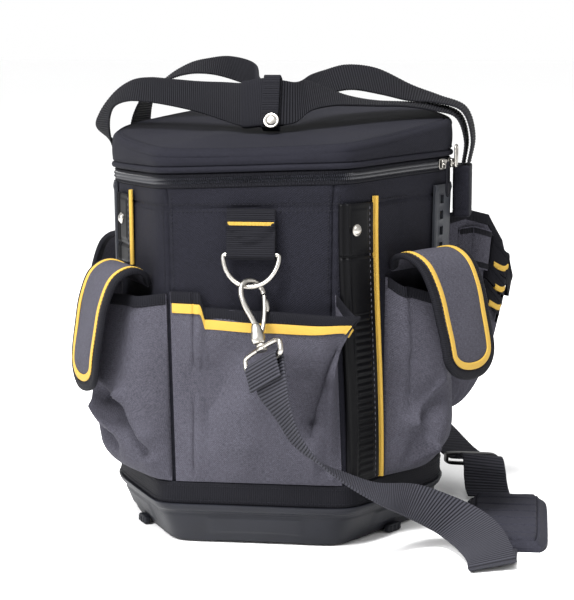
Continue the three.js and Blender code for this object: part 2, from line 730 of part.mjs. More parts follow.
function ringGroup(azimuth, name) {
  const group = new THREE.Group();
  const bar = wallPoint(azimuth, RING.barZ, RING.barOut);
  group.position.copy(bar);
  group.rotation.z = degToRad(azimuth);
  bag.add(group);

  const outline = new THREE.Shape();
  const back = -(RING.barOut - 1.9);
  const top = TAB.top - RING.barZ;
  outline.moveTo(back, top);
  outline.lineTo(back + TAB.layers, top);
  outline.lineTo(TAB.wrap, 2);
  outline.absarc(0, 0, TAB.wrap, 0.1 * Math.PI, -Math.PI, true);
  outline.closePath();
  outline.holes.push(new THREE.Path().absarc(0, 0, TAB.hole, 0, 2 * Math.PI));
  const tab = slab(outline, TAB.width);
  tab.rotateX(Math.PI / 2).rotateZ(-Math.PI / 2);
  add(`ring_tab_${name}`, tab, BLACK_WEBBING(), group);

  const ring = wireLoop(ringOutline, new THREE.Vector3(0, 1, 0), RING.wire, 24);
  const ringMesh = add(`ring_${name}`, ring, NICKEL(), group);
  ringMesh.rotation.x = -RING.lean;
}
ringGroup(0, "front");
ringGroup(180, "rear");

// Front snap hook, in its own frame: X across the hook towards the gate, Z along it to the bend.
// Its bend hangs on the front ring's wire.

const HOOK = { wire: 1.9, bend: 10.5, armFoot: -40, body: [-37, -54], knob: 3.2 };
const GATE = { pivotX: 2.4, pivotZ: -45, tipZ: -13.4, wire: 1.7 };
const EYE = { wire: 1.7, half: 23.2, top: -57.5, bottom: -70, pin: 2.2, turn: degToRad(-87) };
const HOOK_TOP = new THREE.Vector3(-0.6, -149.6, 218);
const HOOK_AXIS = new THREE.Vector3(-0.225, 0.423, 0.88).normalize();
const HOOK_ACROSS = new THREE.Vector3(0.74, 0.67, -0.09);

const hook = new THREE.Group();
const across = HOOK_ACROSS.addScaledVector(HOOK_AXIS, -HOOK_ACROSS.dot(HOOK_AXIS)).normalize();
const through = HOOK_AXIS.clone().cross(across);
hook.quaternion.setFromRotationMatrix(new THREE.Matrix4().makeBasis(across, through, HOOK_AXIS));
hook.position.copy(HOOK_TOP);
bag.add(hook);

const bendMiddle = -HOOK.wire - HOOK.bend;
const hookRun = [new THREE.Vector3(-1.5, 0, HOOK.armFoot - 2), new THREE.Vector3(-4, 0, HOOK.armFoot + 6)];
hookRun.push(new THREE.Vector3(-HOOK.bend + 1.5, 0, bendMiddle - 10));
for (let i = 0; i <= 8; i++) {
  const angle = Math.PI * (1 - i / 8);
  hookRun.push(new THREE.Vector3(HOOK.bend * Math.cos(angle), 0, bendMiddle + HOOK.bend * Math.sin(angle)));
}
const hookWire = wire(hookRun, HOOK.wire, 20, 7);

function barrel(rows, sides) {
  const profile = rows.map(({ radius, z }) => new THREE.Vector2(radius, z));
  return closed(new THREE.LatheGeometry(profile, sides).rotateX(Math.PI / 2));
}

const [bodyHigh, bodyLow] = HOOK.body;
const castBody = barrel(
  [
    { radius: 0, z: bodyLow },
    { radius: 5.2, z: bodyLow },
    { radius: 6, z: bodyLow + 4 },
    { radius: 4.6, z: bodyHigh - 4 },
    { radius: 2.4, z: bodyHigh },
    { radius: 0, z: bodyHigh },
  ],
  12,
);
castBody.scale(1, 0.75, 1).translate(-1.5, 0, 0);
const cheeks = 2 * (GATE.wire + GAP);
const gateSlot = new THREE.BoxGeometry(14, cheeks, 16).translate(GATE.pivotX + 2.6, 0, GATE.pivotZ + 6.6);
add("hook_front", joined(hookWire, cut(castBody, [gateSlot])), NICKEL(), hook);

const gateRun = [
  new THREE.Vector3(GATE.pivotX, 0, GATE.pivotZ),
  new THREE.Vector3(GATE.pivotX + 4.6, 0, lerp(GATE.pivotZ, GATE.tipZ, 0.4)),
  new THREE.Vector3(HOOK.bend, 0, GATE.tipZ),
];
const knob = new THREE.SphereGeometry(HOOK.knob, 8, 6).scale(0.8, 0.6, 1.7);
knob.translate(HOOK.bend + 1.6, 0, lerp(GATE.pivotZ, GATE.tipZ, 0.72));
add("gate_front", joined(wire(gateRun, GATE.wire, 6), knob), NICKEL(), hook);

// The swivel eye turns on the hook's axis so that the strap lies across it.
const eyeMiddle = (EYE.top + EYE.bottom) / 2;
function eyeOutline(share) {
  const angle = 2 * Math.PI * share;
  const corner = 1 / (Math.abs(Math.cos(angle)) ** 6 + Math.abs(Math.sin(angle)) ** 6) ** (1 / 6);
  const x = EYE.half * corner * Math.cos(angle);
  const z = eyeMiddle + ((EYE.top - EYE.bottom) / 2) * corner * Math.sin(angle);
  return new THREE.Vector3(x, 0, z);
}
const eyeLoop = wireLoop(eyeOutline, new THREE.Vector3(0, 1, 0), EYE.wire, 18);
const eyePin = barrel(
  [
    { radius: 0, z: EYE.top - 1 },
    { radius: EYE.pin + 1, z: EYE.top - 1 },
    { radius: EYE.pin, z: bodyLow - GAP },
    { radius: 0, z: bodyLow - GAP },
  ],
  10,
);
const eye = add("swivel_eye_front", joined(eyeLoop, eyePin), NICKEL(), hook);
eye.rotation.z = EYE.turn;

// Hidden rear hook: one plain piece, a closed link with the strap's eye, hanging on the rear ring
const REAR_HOOK = { top: new THREE.Vector3(0, 150.6, 218.3), length: 56, half: 9, lean: degToRad(20) };
const rearHook = new THREE.Group();
rearHook.position.copy(REAR_HOOK.top);
rearHook.rotation.set(REAR_HOOK.lean, 0, degToRad(52));
bag.add(rearHook);
function linkOutline(share) {
  const angle = 2 * Math.PI * share;
  const z = -REAR_HOOK.length / 2 + (REAR_HOOK.length / 2 - HOOK.wire) * Math.sin(angle);
  return new THREE.Vector3(REAR_HOOK.half * Math.cos(angle), 0, z);
}
const rearLink = wireLoop(linkOutline, new THREE.Vector3(0, 1, 0), HOOK.wire, 16);
const rearBar = new THREE.BoxGeometry(2 * EYE.half, 3, 5).rotateZ(degToRad(-52));
rearBar.translate(0, 0, -REAR_HOOK.length + 1);
add("hook_rear", joined(rearLink, rearBar), NICKEL(), rearHook);

// Shoulder strap: webbing laid between two edges, row by row along its run

// A flat strip of webbing between a left and a right edge, each a smooth curve through its rows.
function webbingStrip(rows, steps, columns = 1, thick = WEBBING) {
  const left = new THREE.CatmullRomCurve3(rows.map((row) => new THREE.Vector3(...row.left)));
  const right = new THREE.CatmullRomCurve3(rows.map((row) => new THREE.Vector3(...row.right)));
  return thickSheet(columns, steps, (column, along, depth) => {
    const share = column / columns;
    const at = (place) => left.getPoint(place).lerp(right.getPoint(place), share);
    const reach = 0.25 / rows.length;
    const forward = at(Math.min(1, along + reach)).sub(at(Math.max(0, along - reach)));
    const sideways = right.getPoint(along).sub(left.getPoint(along));
    const normal = sideways.cross(forward).normalize();
    return at(along).addScaledVector(normal, (depth - 0.5) * thick);
  });
}

// The front strap's end loops round the eye's lower bar, in the eye's frame: its sewn tail lies in front.
const STRAP_LOOP = [
  { y: -2.1, z: EYE.bottom - 17 },
  { y: -3.1, z: EYE.bottom - 6 },
  { y: -3.5, z: EYE.bottom + 0.8 },
  { y: 0, z: EYE.bottom + 4.6 },
  { y: 3.5, z: EYE.bottom + 0.8 },
  { y: 3.1, z: EYE.bottom - 6 },
];
bag.updateMatrixWorld(true);
const strapLoop = STRAP_LOOP.map(({ y, z }) => ({
  left: eye.localToWorld(new THREE.Vector3(-STRAP_WIDTH / 2, y, z)).toArray(),
  right: eye.localToWorld(new THREE.Vector3(STRAP_WIDTH / 2, y, z)).toArray(),
}));
// It hangs edge-on to the front halfway down, then turns over onto the floor and folds back under the pad.
const STRAP_FRONT = [
  ...strapLoop,
  { left: [10, -174, 131], right: [35, -200, 147] },
  { left: [24, -173, 112], right: [39, -207, 128] },
  { left: [36.5, -172, 93], right: [47, -208, 107] },
  { left: [56, -168, 78], right: [61, -206, 86.5] },
  { left: [71, -156, 69.5], right: [78, -196, 70] },
  { left: [95, -141, 58], right: [104, -179, 50] },
  { left: [129, -102, 48], right: [121, -136, 30] },
  { left: [170, -96, 32], right: [144, -118, 13] },
  { left: [193, -126, 24], right: [160, -138, 7] },
  { left: [206, -164, 13], right: [171, -178, 6.5] },
  { left: [208, -172, 9], right: [172, -186.5, 4] },
  { left: [207.5, -165, 5.5], right: [173, -181, 1.5] },
  { left: [208, -150, 2], right: [171, -166, 1.1] },
  { left: [207.5, -136, 1.1], right: [169, -140, 1.1] },
  { left: [207.5, -118.8, 2.4], right: [169, -118.8, 2.4] },
];
add("strap_front", webbingStrip(STRAP_FRONT, 46), BLACK_WEBBING());

const STRAP_REAR = [
  { left: [160, 51.4, 4], right: [198, 51.4, 4] },
  { left: [157.5, 55.4, 9], right: [195.5, 55.4, 9] },
  { left: [156, 56.5, 20], right: [193.5, 56.5, 18] },
  { left: [155.5, 55.5, 32], right: [192, 55.5, 29] },
  { left: [154, 60, 39], right: [190, 62, 35.5] },
  { left: [150, 70, 37], right: [186, 77, 33.5] },
  { left: [143, 83, 31], right: [178, 96, 28] },
  { left: [131, 100, 34], right: [162, 122, 32] },
  { left: [110, 130, 56], right: [133, 160, 50] },
  { left: [82, 156, 78], right: [94, 190, 66] },
  { left: [58, 170, 100], right: [48, 198, 78] },
  { left: [38, 176, 124], right: [8, 190, 106] },
  { left: [24, 174.5, 148], right: [-14, 178, 142] },
  { left: [20, 172.9, 169], right: [-20, 172.9, 169] },
];
add("strap_rear", webbingStrip(STRAP_REAR, 36), BLACK_WEBBING());

// Shoulder pad lying on the floor on the strap
const PAD = { middle: new THREE.Vector3(195.5, -34, 0), length: 168, width: 69, thick: 10, turn: degToRad(1) };
const pad = thickSheet(6, 6, (column, along, depth) => {
  const side = (2 * column) / 6 - 1;
  const end = 2 * along - 1;
  const half = (PAD.width / 2) * (1 - 0.18 * end ** 8);
  const crown = 1 - 0.55 * side ** 6;
  const point = new THREE.Vector3(side * half, (end * PAD.length) / 2, depth * PAD.thick * crown + 0.2);
  return point.applyAxisAngle(new THREE.Vector3(0, 0, 1), PAD.turn).add(PAD.middle);
});
add("shoulder_pad", pad, BLACK_CLOTH());

// Plastic keeper round the rear strap
const KEEPER = { width: 50, height: 11.6, hole: [43, 7], depth: 9, at: new THREE.Vector3(160.5, 89.5, 29.3) };
const keeperShape = roundedRectangle(KEEPER.width, KEEPER.height, 4);
keeperShape.holes.push(roundedRectangle(...KEEPER.hole, 1.5, new THREE.Path()));
const keeper = add("strap_adjuster", slab(keeperShape, KEEPER.depth), TRAY_PLASTIC());
keeper.position.copy(KEEPER.at);
keeper.rotation.set(Math.PI / 2, degToRad(4.6), degToRad(20.4), "ZYX");

// Handles: webbing loops over the lid, gathered at the middle. Each row gives the middle of the webbing
// and the way that its width points.

const HANDLE_NEAR = [
  { at: [-126.8, 58.9, 283.5], wide: [0.48, 0.87, 0] },
  { at: [-137, 50, 294], wide: [0.3, 0.95, 0.1] },
  { at: [-150, 34, 311], wide: [-0.2, 0.97, 0.1] },
  { at: [-156, 20, 326], wide: [-0.5, 0.86, 0] },
  { at: [-152, 12, 338], wide: [-0.45, 0.89, 0] },
  { at: [-141, 4, 351], wide: [-0.2, 0.94, 0.28] },
  { at: [-126, -4, 358], wide: [-0.1, 0.9, 0.43] },
  { at: [-108, -13, 359], wide: [-0.15, 0.84, 0.51] },
  { at: [-85, -26, 357], wide: [-0.18, 0.8, 0.56] },
  { at: [-59, -42, 354], wide: [-0.15, 0.74, 0.65] },
  { at: [-36, -57, 351], wide: [-0.1, 0.58, 0.8] },
  { at: [-17, -71, 349], wide: [-0.05, 0.42, 0.9] },
  { at: [-4, -76.2, 350.8], wide: [0, 0.35, 0.94] },
  { at: [12, -76.2, 350.8], wide: [0, 0.35, 0.94] },
  { at: [24, -72, 351], wide: [-0.08, 0.55, 0.82] },
  { at: [33, -60, 356], wide: [-0.2, 0.75, 0.62] },
  { at: [49, -42, 354], wide: [-0.17, 0.93, 0.32] },
  { at: [63, -28, 351], wide: [-0.12, 0.98, 0.16] },
  { at: [83, -12, 348.5], wide: [-0.1, 0.99, 0.07] },
  { at: [106, 0, 347.5], wide: [-0.02, 1, 0.05] },
  { at: [130, 9, 345], wide: [0, 0.98, 0.1] },
  { at: [149.5, 15, 338], wide: [0.04, 0.99, 0.04] },
  { at: [156.5, 18, 318], wide: [0.02, 1, 0] },
  { at: [154.4, 18, 297.6], wide: [0, 1, 0] },
];
const HANDLE_FAR = [
  { at: [-123.5, 57.2, 283.5], wide: [0.48, 0.87, 0] },
  { at: [-131, 62, 305], wide: [0.35, 0.93, 0] },
  { at: [-131, 62, 334], wide: [0.2, 0.98, 0] },
  { at: [-121, 59, 356], wide: [0, 0.99, 0] },
  { at: [-104, 54, 368], wide: [-0.2, 0.97, 0.05] },
  { at: [-84, 46, 376], wide: [-0.15, 0.96, 0.22] },
  { at: [-65, 37, 378], wide: [-0.2, 0.92, 0.33] },
  { at: [-43, 21, 376.5], wide: [-0.25, 0.82, 0.52] },
  { at: [-19, -9, 370], wide: [-0.15, 0.78, 0.6] },
  { at: [-10, -44, 356], wide: [-0.1, 0.6, 0.79] },
  { at: [-3, -70.2, 349.7], wide: [0, 0.35, 0.94] },
  { at: [12, -70.8, 349.7], wide: [0, 0.35, 0.94] },
  { at: [24, -52, 352], wide: [-0.12, 0.62, 0.77] },
  { at: [32, -24, 361], wide: [-0.2, 0.8, 0.56] },
  { at: [42, -4, 366], wide: [-0.27, 0.84, 0.47] },
  { at: [58, 8, 369.5], wide: [-0.24, 0.82, 0.52] },
  { at: [82, 20, 366], wide: [-0.22, 0.8, 0.56] },
  { at: [109, 26, 356], wide: [0, 0.95, 0.3] },
  { at: [132, 25, 351], wide: [0, 1, 0.12] },
  { at: [154, 22, 343], wide: [0.04, 1, 0.04] },
  { at: [162, 19, 320], wide: [0.02, 1, 0] },
  { at: [158.8, 18, 297.6], wide: [0, 1, 0] },
];

function handleRows(table) {
  return table.map(({ at, wide }) => {
    const middle = new THREE.Vector3(...at);
    const half = new THREE.Vector3(...wide).setLength(HANDLE_WIDTH / 2);
    return { left: middle.clone().sub(half).toArray(), right: middle.clone().add(half).toArray() };
  });
}
add("handle_near", webbingStrip(handleRows(HANDLE_NEAR), 42), BLACK_WEBBING());
add("handle_far", webbingStrip(handleRows(HANDLE_FAR), 40), BLACK_WEBBING());

// Wrap that gathers the two handles at the middle, leaning with them, and its snap on the front
const WRAP = { depth: 16, tall: 44.8, hole: [11.6, 40.4], wide: 13.6 };
const wrapGroup = new THREE.Group();
wrapGroup.position.set(5.4, -73.4, 350.4);
wrapGroup.rotation.x = degToRad(-20.5);
bag.add(wrapGroup);
const wrapShape = roundedRectangle(WRAP.depth, WRAP.tall, 5);
wrapShape.holes.push(roundedRectangle(...WRAP.hole, 2, new THREE.Path()));
const wrap = slab(wrapShape, WRAP.wide).rotateX(Math.PI / 2).rotateZ(Math.PI / 2);
add("handle_wrap", wrap, BLACK_WEBBING(), wrapGroup);

const SNAP = { radius: 6, height: 3, x: 1.5, z: -17.5 };
const snap = new THREE.CylinderGeometry(SNAP.radius, SNAP.radius * 0.8, SNAP.height, 14);
snap.translate(SNAP.x, -WRAP.depth / 2 - GAP - SNAP.height / 2, SNAP.z);
add("handle_snap", closed(snap), NICKEL(), wrapGroup);

// Padded sleeves that hold the handle ends against the sides of the bag
const SLEEVES = [
  { name: "right", middle: [153.6, 18], thick: 15, deep: 42, low: 254, high: 297, turn: 0 },
  { name: "left", middle: [-123.8, 57], thick: 7, deep: 42, low: 244, high: 283, turn: 29 },
];
for (const { name, middle, thick, deep, low, high, turn } of SLEEVES) {
  const sleeve = slab(roundedRectangle(thick, deep, 2.2), high - low);
  const mesh = add(`handle_sleeve_${name}`, sleeve, BLACK_CLOTH());
  mesh.position.set(...middle, (low + high) / 2);
  mesh.rotation.z = degToRad(-turn);
}

export default bag;
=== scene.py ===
"""Looks of a six-sided soft tool bag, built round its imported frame. Sizes are in millimetres until a mesh
is made, which is in metres. Azimuths are degrees from the front, turning to the right."""

import math

import bmesh
import bpy
import numpy as np
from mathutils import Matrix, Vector


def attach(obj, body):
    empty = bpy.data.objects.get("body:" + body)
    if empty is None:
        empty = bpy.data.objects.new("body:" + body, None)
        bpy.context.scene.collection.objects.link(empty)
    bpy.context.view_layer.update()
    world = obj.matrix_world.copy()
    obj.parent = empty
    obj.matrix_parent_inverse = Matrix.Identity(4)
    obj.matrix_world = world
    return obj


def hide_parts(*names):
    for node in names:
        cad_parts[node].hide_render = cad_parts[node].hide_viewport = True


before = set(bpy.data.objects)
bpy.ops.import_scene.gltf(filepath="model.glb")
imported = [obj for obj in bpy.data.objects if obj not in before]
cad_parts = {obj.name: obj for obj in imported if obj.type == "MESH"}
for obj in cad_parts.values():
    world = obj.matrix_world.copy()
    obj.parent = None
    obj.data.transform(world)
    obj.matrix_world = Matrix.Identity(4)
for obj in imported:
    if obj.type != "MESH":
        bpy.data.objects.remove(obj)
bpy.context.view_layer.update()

MM = 0.001
FULL_TURN = 2 * math.pi
UP = np.array([0.0, 0.0, 1.0])
CLOTH = 2.0  # pocket cloth
GAP = 0.3
RIM_Z = 34.0
ZIP_Z = 297.0
ZIP_RISE = 5.5
BODY_TOP = 288.0
LID_BOTTOM = 300.3
LID_CROWN = 334.0
BODY_INSET = 3.4
BAND_TOP = 52.0
POCKET_BOTTOM = BAND_TOP + 0.6
CORNER_POWER = 26
AXIS_SHARE = 0.004  # rings this near the axis close a floor or a crown

# The plan's facets: azimuth, then distance from the axis at the underside, the rim and the zip.
FACETS = np.array([
    (0, 123, 135, 146),
    (61, 118, 133, 137),
    (90, 124, 140, 148),
    (119, 118, 133, 137),
    (180, 123, 135, 146),
    (241, 118, 133, 136),
    (270, 122, 137, 141),
    (299, 118, 133, 136),
], float)


# Numbers and curves

def unit(vectors):
    return vectors / np.maximum(np.linalg.norm(vectors, axis=-1, keepdims=True), 1e-9)


def smooth(x, low, high):
    share = np.clip((np.asarray(x, float) - low) / (high - low), 0, 1)
    return share * share * (3 - 2 * share)


def plateau(x, low, high, ease):
    """1 between low and high, easing to 0 within them."""
    return smooth(x, low, low + ease) * (1 - smooth(x, high - ease, high))


def ridge(x, middle, half):
    """1 at the middle, falling away over half."""
    return np.exp(-(((np.asarray(x, float) - middle) / half) ** 2))


def mix(low, high, share):
    return low + (high - low) * share


def read_table(table, at, column):
    """A column of a table at places between its rows, easing from row to row, keyed by its first column."""
    rows = np.array(table, float)
    at = np.asarray(at, float)
    here = np.clip(np.searchsorted(rows[:, 0], at, side="right") - 1, 0, len(rows) - 2)
    share = smooth((at - rows[here, 0]) / (rows[here + 1, 0] - rows[here, 0]), 0, 1)
    return mix(rows[here, column], rows[here + 1, column], share)


def ripple(points, wave, seed, waves=7):
    """A smooth field from -1 to 1 in space, with features about one wave long."""
    rng = np.random.default_rng(seed)
    total = np.zeros(points.shape[:-1])
    for _ in range(waves):
        way = rng.normal(size=3)
        way *= FULL_TURN / (wave * rng.uniform(0.7, 1.5)) / np.linalg.norm(way)
        total += np.sin(points @ way + rng.uniform(0, FULL_TURN))
    return total / waves * 1.6


def spline(points, count=None, at=None):
    """A centripetal Catmull-Rom curve through points, at a count of places or at shares of its points."""
    points = np.asarray(points, float)
    at = np.linspace(0, 1, count) if at is None else at
    padded = np.vstack([2 * points[0] - points[1], points, 2 * points[-1] - points[-2]])
    place = np.clip(at, 0, 1) * (len(points) - 1)
    here = np.clip(np.floor(place).astype(int), 0, len(points) - 2)
    share = (place - here)[:, None]
    p0, p1, p2, p3 = (padded[here + k] for k in range(4))
    d0, d1, d2 = (
        np.maximum(np.linalg.norm(end - start, axis=1), 1e-4)[:, None] ** 0.5
        for start, end in ((p0, p1), (p1, p2), (p2, p3))
    )
    leave = ((p1 - p0) / d0 - (p2 - p0) / (d0 + d1) + (p2 - p1) / d1) * d1
    arrive = ((p2 - p1) / d1 - (p3 - p1) / (d1 + d2) + (p3 - p2) / d2) * d1
    square = -3 * p1 + 3 * p2 - 2 * leave - arrive
    cube = 2 * p1 - 2 * p2 + leave + arrive
    return p1 + leave * share + square * share**2 + cube * share**3


def arc_length(points):
    steps = np.linalg.norm(np.diff(points, axis=0), axis=-1)
    return np.concatenate([[0], np.cumsum(steps)])


def resample(at, run, values):
    """Rows of values read at lengths along a run."""
    return np.stack([np.interp(at, run, column) for column in values.T], 1)


# The bag's plan

def radial(azimuth):
    angle = np.radians(azimuth)
    return np.stack([np.sin(angle), -np.cos(angle), np.zeros_like(angle)], -1)


def plan_radius(azimuth, z):
    azimuth, z = np.broadcast_arrays(np.asarray(azimuth, float), np.asarray(z, float))
    low = mix(FACETS[:, 1], FACETS[:, 2], np.clip(z / RIM_Z, 0, 1)[..., None])
    high = mix(FACETS[:, 2], FACETS[:, 3], np.clip((z - RIM_Z) / (ZIP_Z - RIM_Z), 0, 1)[..., None])
    distance = np.where((z < RIM_Z)[..., None], low, high)
    facing = np.maximum(np.cos(np.radians(azimuth[..., None] - FACETS[:, 0])), 0)
    return ((facing / distance) ** CORNER_POWER).sum(-1) ** (-1 / CORNER_POWER)


def wall_normal(azimuth, z):
    azimuth = np.asarray(azimuth, float)
    ahead = radial(azimuth + 0.5) * plan_radius(azimuth + 0.5, z)[..., None]
    behind = radial(azimuth - 0.5) * plan_radius(azimuth - 0.5, z)[..., None]
    return -sideways(unit(ahead - behind))


def sideways(way):
    """The level way a quarter turn from another, such as along a wall from the way that it faces."""
    return np.stack([-way[..., 1], way[..., 0], np.zeros(way.shape[:-1])], -1)


def wall_axes(azimuth, z):
    """The ways along, out from and up a wall."""
    normal = wall_normal(azimuth, z)
    return sideways(normal), normal, UP


def wall_point(azimuth, z, out=0.0):
    """A point on the body's outer face, or out from it."""
    azimuth, z, out = np.broadcast_arrays(*(np.asarray(v, float) for v in (azimuth, z, out)))
    return on_plan(azimuth, z, inset=BODY_INSET) + wall_normal(azimuth, z) * out[..., None]


def on_plan(azimuth, z, share=1.0, inset=0.0):
    """A point of the plan at a height, at a share of its radius and inside it."""
    values = (np.asarray(v, float) for v in (azimuth, z, share, inset))
    azimuth, z, share, inset = np.broadcast_arrays(*values)
    point = radial(azimuth) * (plan_radius(azimuth, z) * share - inset)[..., None]
    point[..., 2] = z
    return point


def zip_rise(azimuth):
    return ZIP_RISE * np.sin(np.radians(azimuth))


def round_azimuths(step):
    """Azimuths all the way round, from the back."""
    return 180 + np.arange(0, 360, step)


# Materials

def linear(code):
    """A colour's linear values from its hexadecimal code."""
    channels = [(code >> shift & 255) / 255 for shift in (16, 8, 0)]
    return [c / 12.92 if c <= 0.04045 else ((c + 0.055) / 1.055) ** 2.4 for c in channels] + [1.0]


class Shade:
    """A material's nodes, with short ways to add and join them."""

    def __init__(self, name, roughness, metallic=0.0, specular=0.5):
        self.material = bpy.data.materials.new(name)
        self.material.use_nodes = True
        self.tree = self.material.node_tree
        self.shader = self.tree.nodes["Principled BSDF"]
        self.shader.inputs["Roughness"].default_value = roughness
        self.shader.inputs["Metallic"].default_value = metallic
        self.shader.inputs["Specular IOR Level"].default_value = specular

    def node(self, kind, values=None, **settings):
        made = self.tree.nodes.new("ShaderNode" + kind)
        for key, value in settings.items():
            setattr(made, key, value)
        for key, value in (values or {}).items():
            if isinstance(value, bpy.types.NodeSocket):
                self.tree.links.new(value, made.inputs[key])
            else:
                made.inputs[key].default_value = value
        return made

    def math(self, operation, first, second=0.0):
        return self.node("Math", {0: first, 1: second}, operation=operation).outputs[0]

    def plus(self, first, second, share=1.0):
        """The first value and a share of the second."""
        return self.math("ADD", first, self.math("MULTIPLY", second, share))

    def wave(self, value, pitch):
        return self.math("SINE", self.math("MULTIPLY", value, FULL_TURN / pitch))

    def uv(self):
        mapped = self.node("UVMap", uv_map="cloth").outputs[0]
        split = self.node("SeparateXYZ", {0: mapped})
        return mapped, split.outputs[0], split.outputs[1]

    def noise(self, vector, scale, detail=3.0):
        return self.node("TexNoise", {"Vector": vector, "Scale": scale, "Detail": detail}).outputs[0]

    def colour(self, factor, dark, light):
        ramp = self.node("ValToRGB", {0: factor})
        ramp.color_ramp.elements[0].color = linear(dark)
        ramp.color_ramp.elements[1].color = linear(light)
        self.tree.links.new(ramp.outputs[0], self.shader.inputs["Base Color"])

    def bump(self, height, distance):
        made = self.node("Bump", {"Height": height, "Distance": distance * MM, "Strength": 1.0})
        self.tree.links.new(made.outputs[0], self.shader.inputs["Normal"])

    def rough(self, factor, low, high):
        span = self.node("MapRange", {0: factor, 3: low, 4: high}).outputs[0]
        self.tree.links.new(span, self.shader.inputs["Roughness"])


WEAVE_PITCH = 1.9
WEAVE_RELIEF = 0.3
THREAD_STRETCHES = ((1.25, 0.3, 1), (0.3, 1.25, 1))


def woven(name, dark, light):
    """Plain-woven cloth: crossing yarns with uneven fibres and a broad wear."""
    shade = Shade(name, 0.85, specular=0.1)
    mapped, along, across = shade.uv()
    weave = shade.math("MULTIPLY", shade.wave(along, WEAVE_PITCH), shade.wave(across, WEAVE_PITCH))
    threads = []
    for stretch in THREAD_STRETCHES:
        drawn = shade.node("VectorMath", {0: mapped, 1: stretch}, operation="MULTIPLY").outputs[0]
        threads.append(shade.noise(drawn, 1.0))
    fibre = shade.math("MULTIPLY", shade.math("ADD", *threads), 0.5)
    wear = shade.noise(mapped, 0.018)
    tone = shade.plus(shade.math("MULTIPLY", weave, 0.1), fibre, 1.3)
    tone = shade.plus(tone, wear, 0.3)
    shade.colour(shade.math("SUBTRACT", tone, 0.3), dark, light)
    shade.bump(shade.plus(fibre, weave, 0.4), WEAVE_RELIEF)
    return shade.material


def ribbed(name, dark, light, pitch, relief, roughness=0.75):
    """Ribbed tape: ribs across its length, with yarns along it, and painted highlights on the rib crests.
    """
    shade = Shade(name, roughness, specular=0.08)
    mapped, along, across = shade.uv()
    rib = shade.math("ABSOLUTE", shade.wave(along, 2 * pitch))
    yarn = shade.wave(across, 1.1)
    fibre = shade.noise(mapped, 1.2)
    # Painted highlight and shade: the colour is lighter on the rib crests and darker in the grooves, on top
    # of the bump.
    shade.colour(shade.plus(shade.math("MULTIPLY", rib, 0.75), fibre, 0.35), dark, light)
    shade.bump(shade.plus(shade.plus(rib, yarn, 0.12), fibre, 0.25), relief)
    return shade.material


def moulded(name, dark, light, roughness, grain, gloss=0.15):
    """Moulded plastic or rubber with a fine spark-eroded grain and slight scuffs."""
    shade = Shade(name, roughness, specular=gloss)
    place = shade.node("TexCoord").outputs["Object"]
    fine = shade.noise(place, 2600.0, 2.0)
    broad = shade.noise(place, 38.0, 4.0)
    shade.colour(shade.plus(shade.math("MULTIPLY", broad, 0.8), fine, 0.2), dark, light)
    shade.rough(broad, roughness - 0.08, roughness + 0.1)
    shade.bump(fine, grain)
    return shade.material


def metal(name, dark, light, roughness):
    """Plated wire and castings with slight handling marks."""
    shade = Shade(name, roughness, metallic=1.0)
    place = shade.node("TexCoord").outputs["Object"]
    marks = shade.noise(place, 420.0, 5.0)
    shade.colour(shade.noise(place, 60.0), dark, light)
    shade.rough(marks, roughness - 0.1, roughness + 0.14)
    shade.bump(marks, 0.05)
    return shade.material


BLACK = woven("black_cloth", 0x020204, 0x1C1C24)
GREY = woven("grey_cloth", 0x0D0C11, 0x4B4A53)
# Lighter than the black cloth: painted sheen on the pad's cloth.
PADDING = woven("pad_cloth", 0x0A0A0E, 0x32323B)
YELLOW = ribbed("yellow_ribbon", 0x846722, 0xA88A40, 0.9, 0.1, 0.6)
BINDING = ribbed("black_binding", 0x030304, 0x131318, 1.5, 0.25)
# The strap's light end is raised so its rib crests carry a stronger painted highlight.
STRAP = ribbed("strap_webbing", 0x030304, 0x333339, 2.6, 0.3)
HANDLE = ribbed("handle_webbing", 0x020203, 0x151519, 2.3, 0.3)
TRAY = moulded("tray_plastic", 0x101115, 0x1D1E24, 0.5, 0.05)
STRIP = moulded("strip_rubber", 0x030304, 0x09090B, 0.45, 0.05, 0.06)
PLATE = moulded("plate_plastic", 0x1C1D21, 0x2E3035, 0.5, 0.05)
BLACK_PLASTIC = moulded("black_plastic", 0x040405, 0x0B0B0E, 0.4, 0.03)
NICKEL = metal("nickel", 0x8C8883, 0xB9B6B0, 0.3)
COIL = moulded("zip_coil", 0x0A0A0D, 0x26272D, 0.3, 0.02, 0.5)
THREAD = ribbed("black_thread", 0x060608, 0x1A1A1F, 0.8, 0.05)
GREY_THREAD = ribbed("grey_thread", 0x3A393F, 0x56555C, 0.8, 0.05)


# Meshes. A body is its points, its faces and its lengths along and across the material.

def add(name, body, material, *nodes, rides="bag", slot=None, crease=50.0):
    """Adds a body as a smooth-shaded piece in metres, its faces turned outwards, in place of CAD nodes."""
    points, faces, lengths = body
    mesh = bpy.data.meshes.new(name)
    mesh.from_pydata((points * MM).tolist(), [], [list(map(int, face)) for face in faces])
    layer = mesh.uv_layers.new(name="cloth")
    corners = np.empty(len(mesh.loops), np.int32)
    mesh.loops.foreach_get("vertex_index", corners)
    layer.data.foreach_set("uv", lengths[corners].astype(np.float32).ravel())
    work = bmesh.new()
    work.from_mesh(mesh)
    bmesh.ops.recalc_face_normals(work, faces=work.faces)
    work.to_mesh(mesh)
    work.free()
    mesh.polygons.foreach_set("use_smooth", np.ones(len(mesh.polygons), bool))
    mesh.set_sharp_from_angle(angle=math.radians(crease))
    mesh.materials.append(material)
    obj = bpy.data.objects.new(name, mesh)
    bpy.context.scene.collection.objects.link(obj)
    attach(obj, rides)
    if nodes:
        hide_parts(*nodes)
    return obj


def grid_faces(rows, columns, wrap=False):
    row = np.arange(rows - 1)[:, None]
    column = np.arange(columns if wrap else columns - 1)[None, :]
    low_left = row * columns + column
    low_right = row * columns + (column + 1) % columns
    return np.stack([low_left, low_right, low_right + columns, low_left + columns], -1)


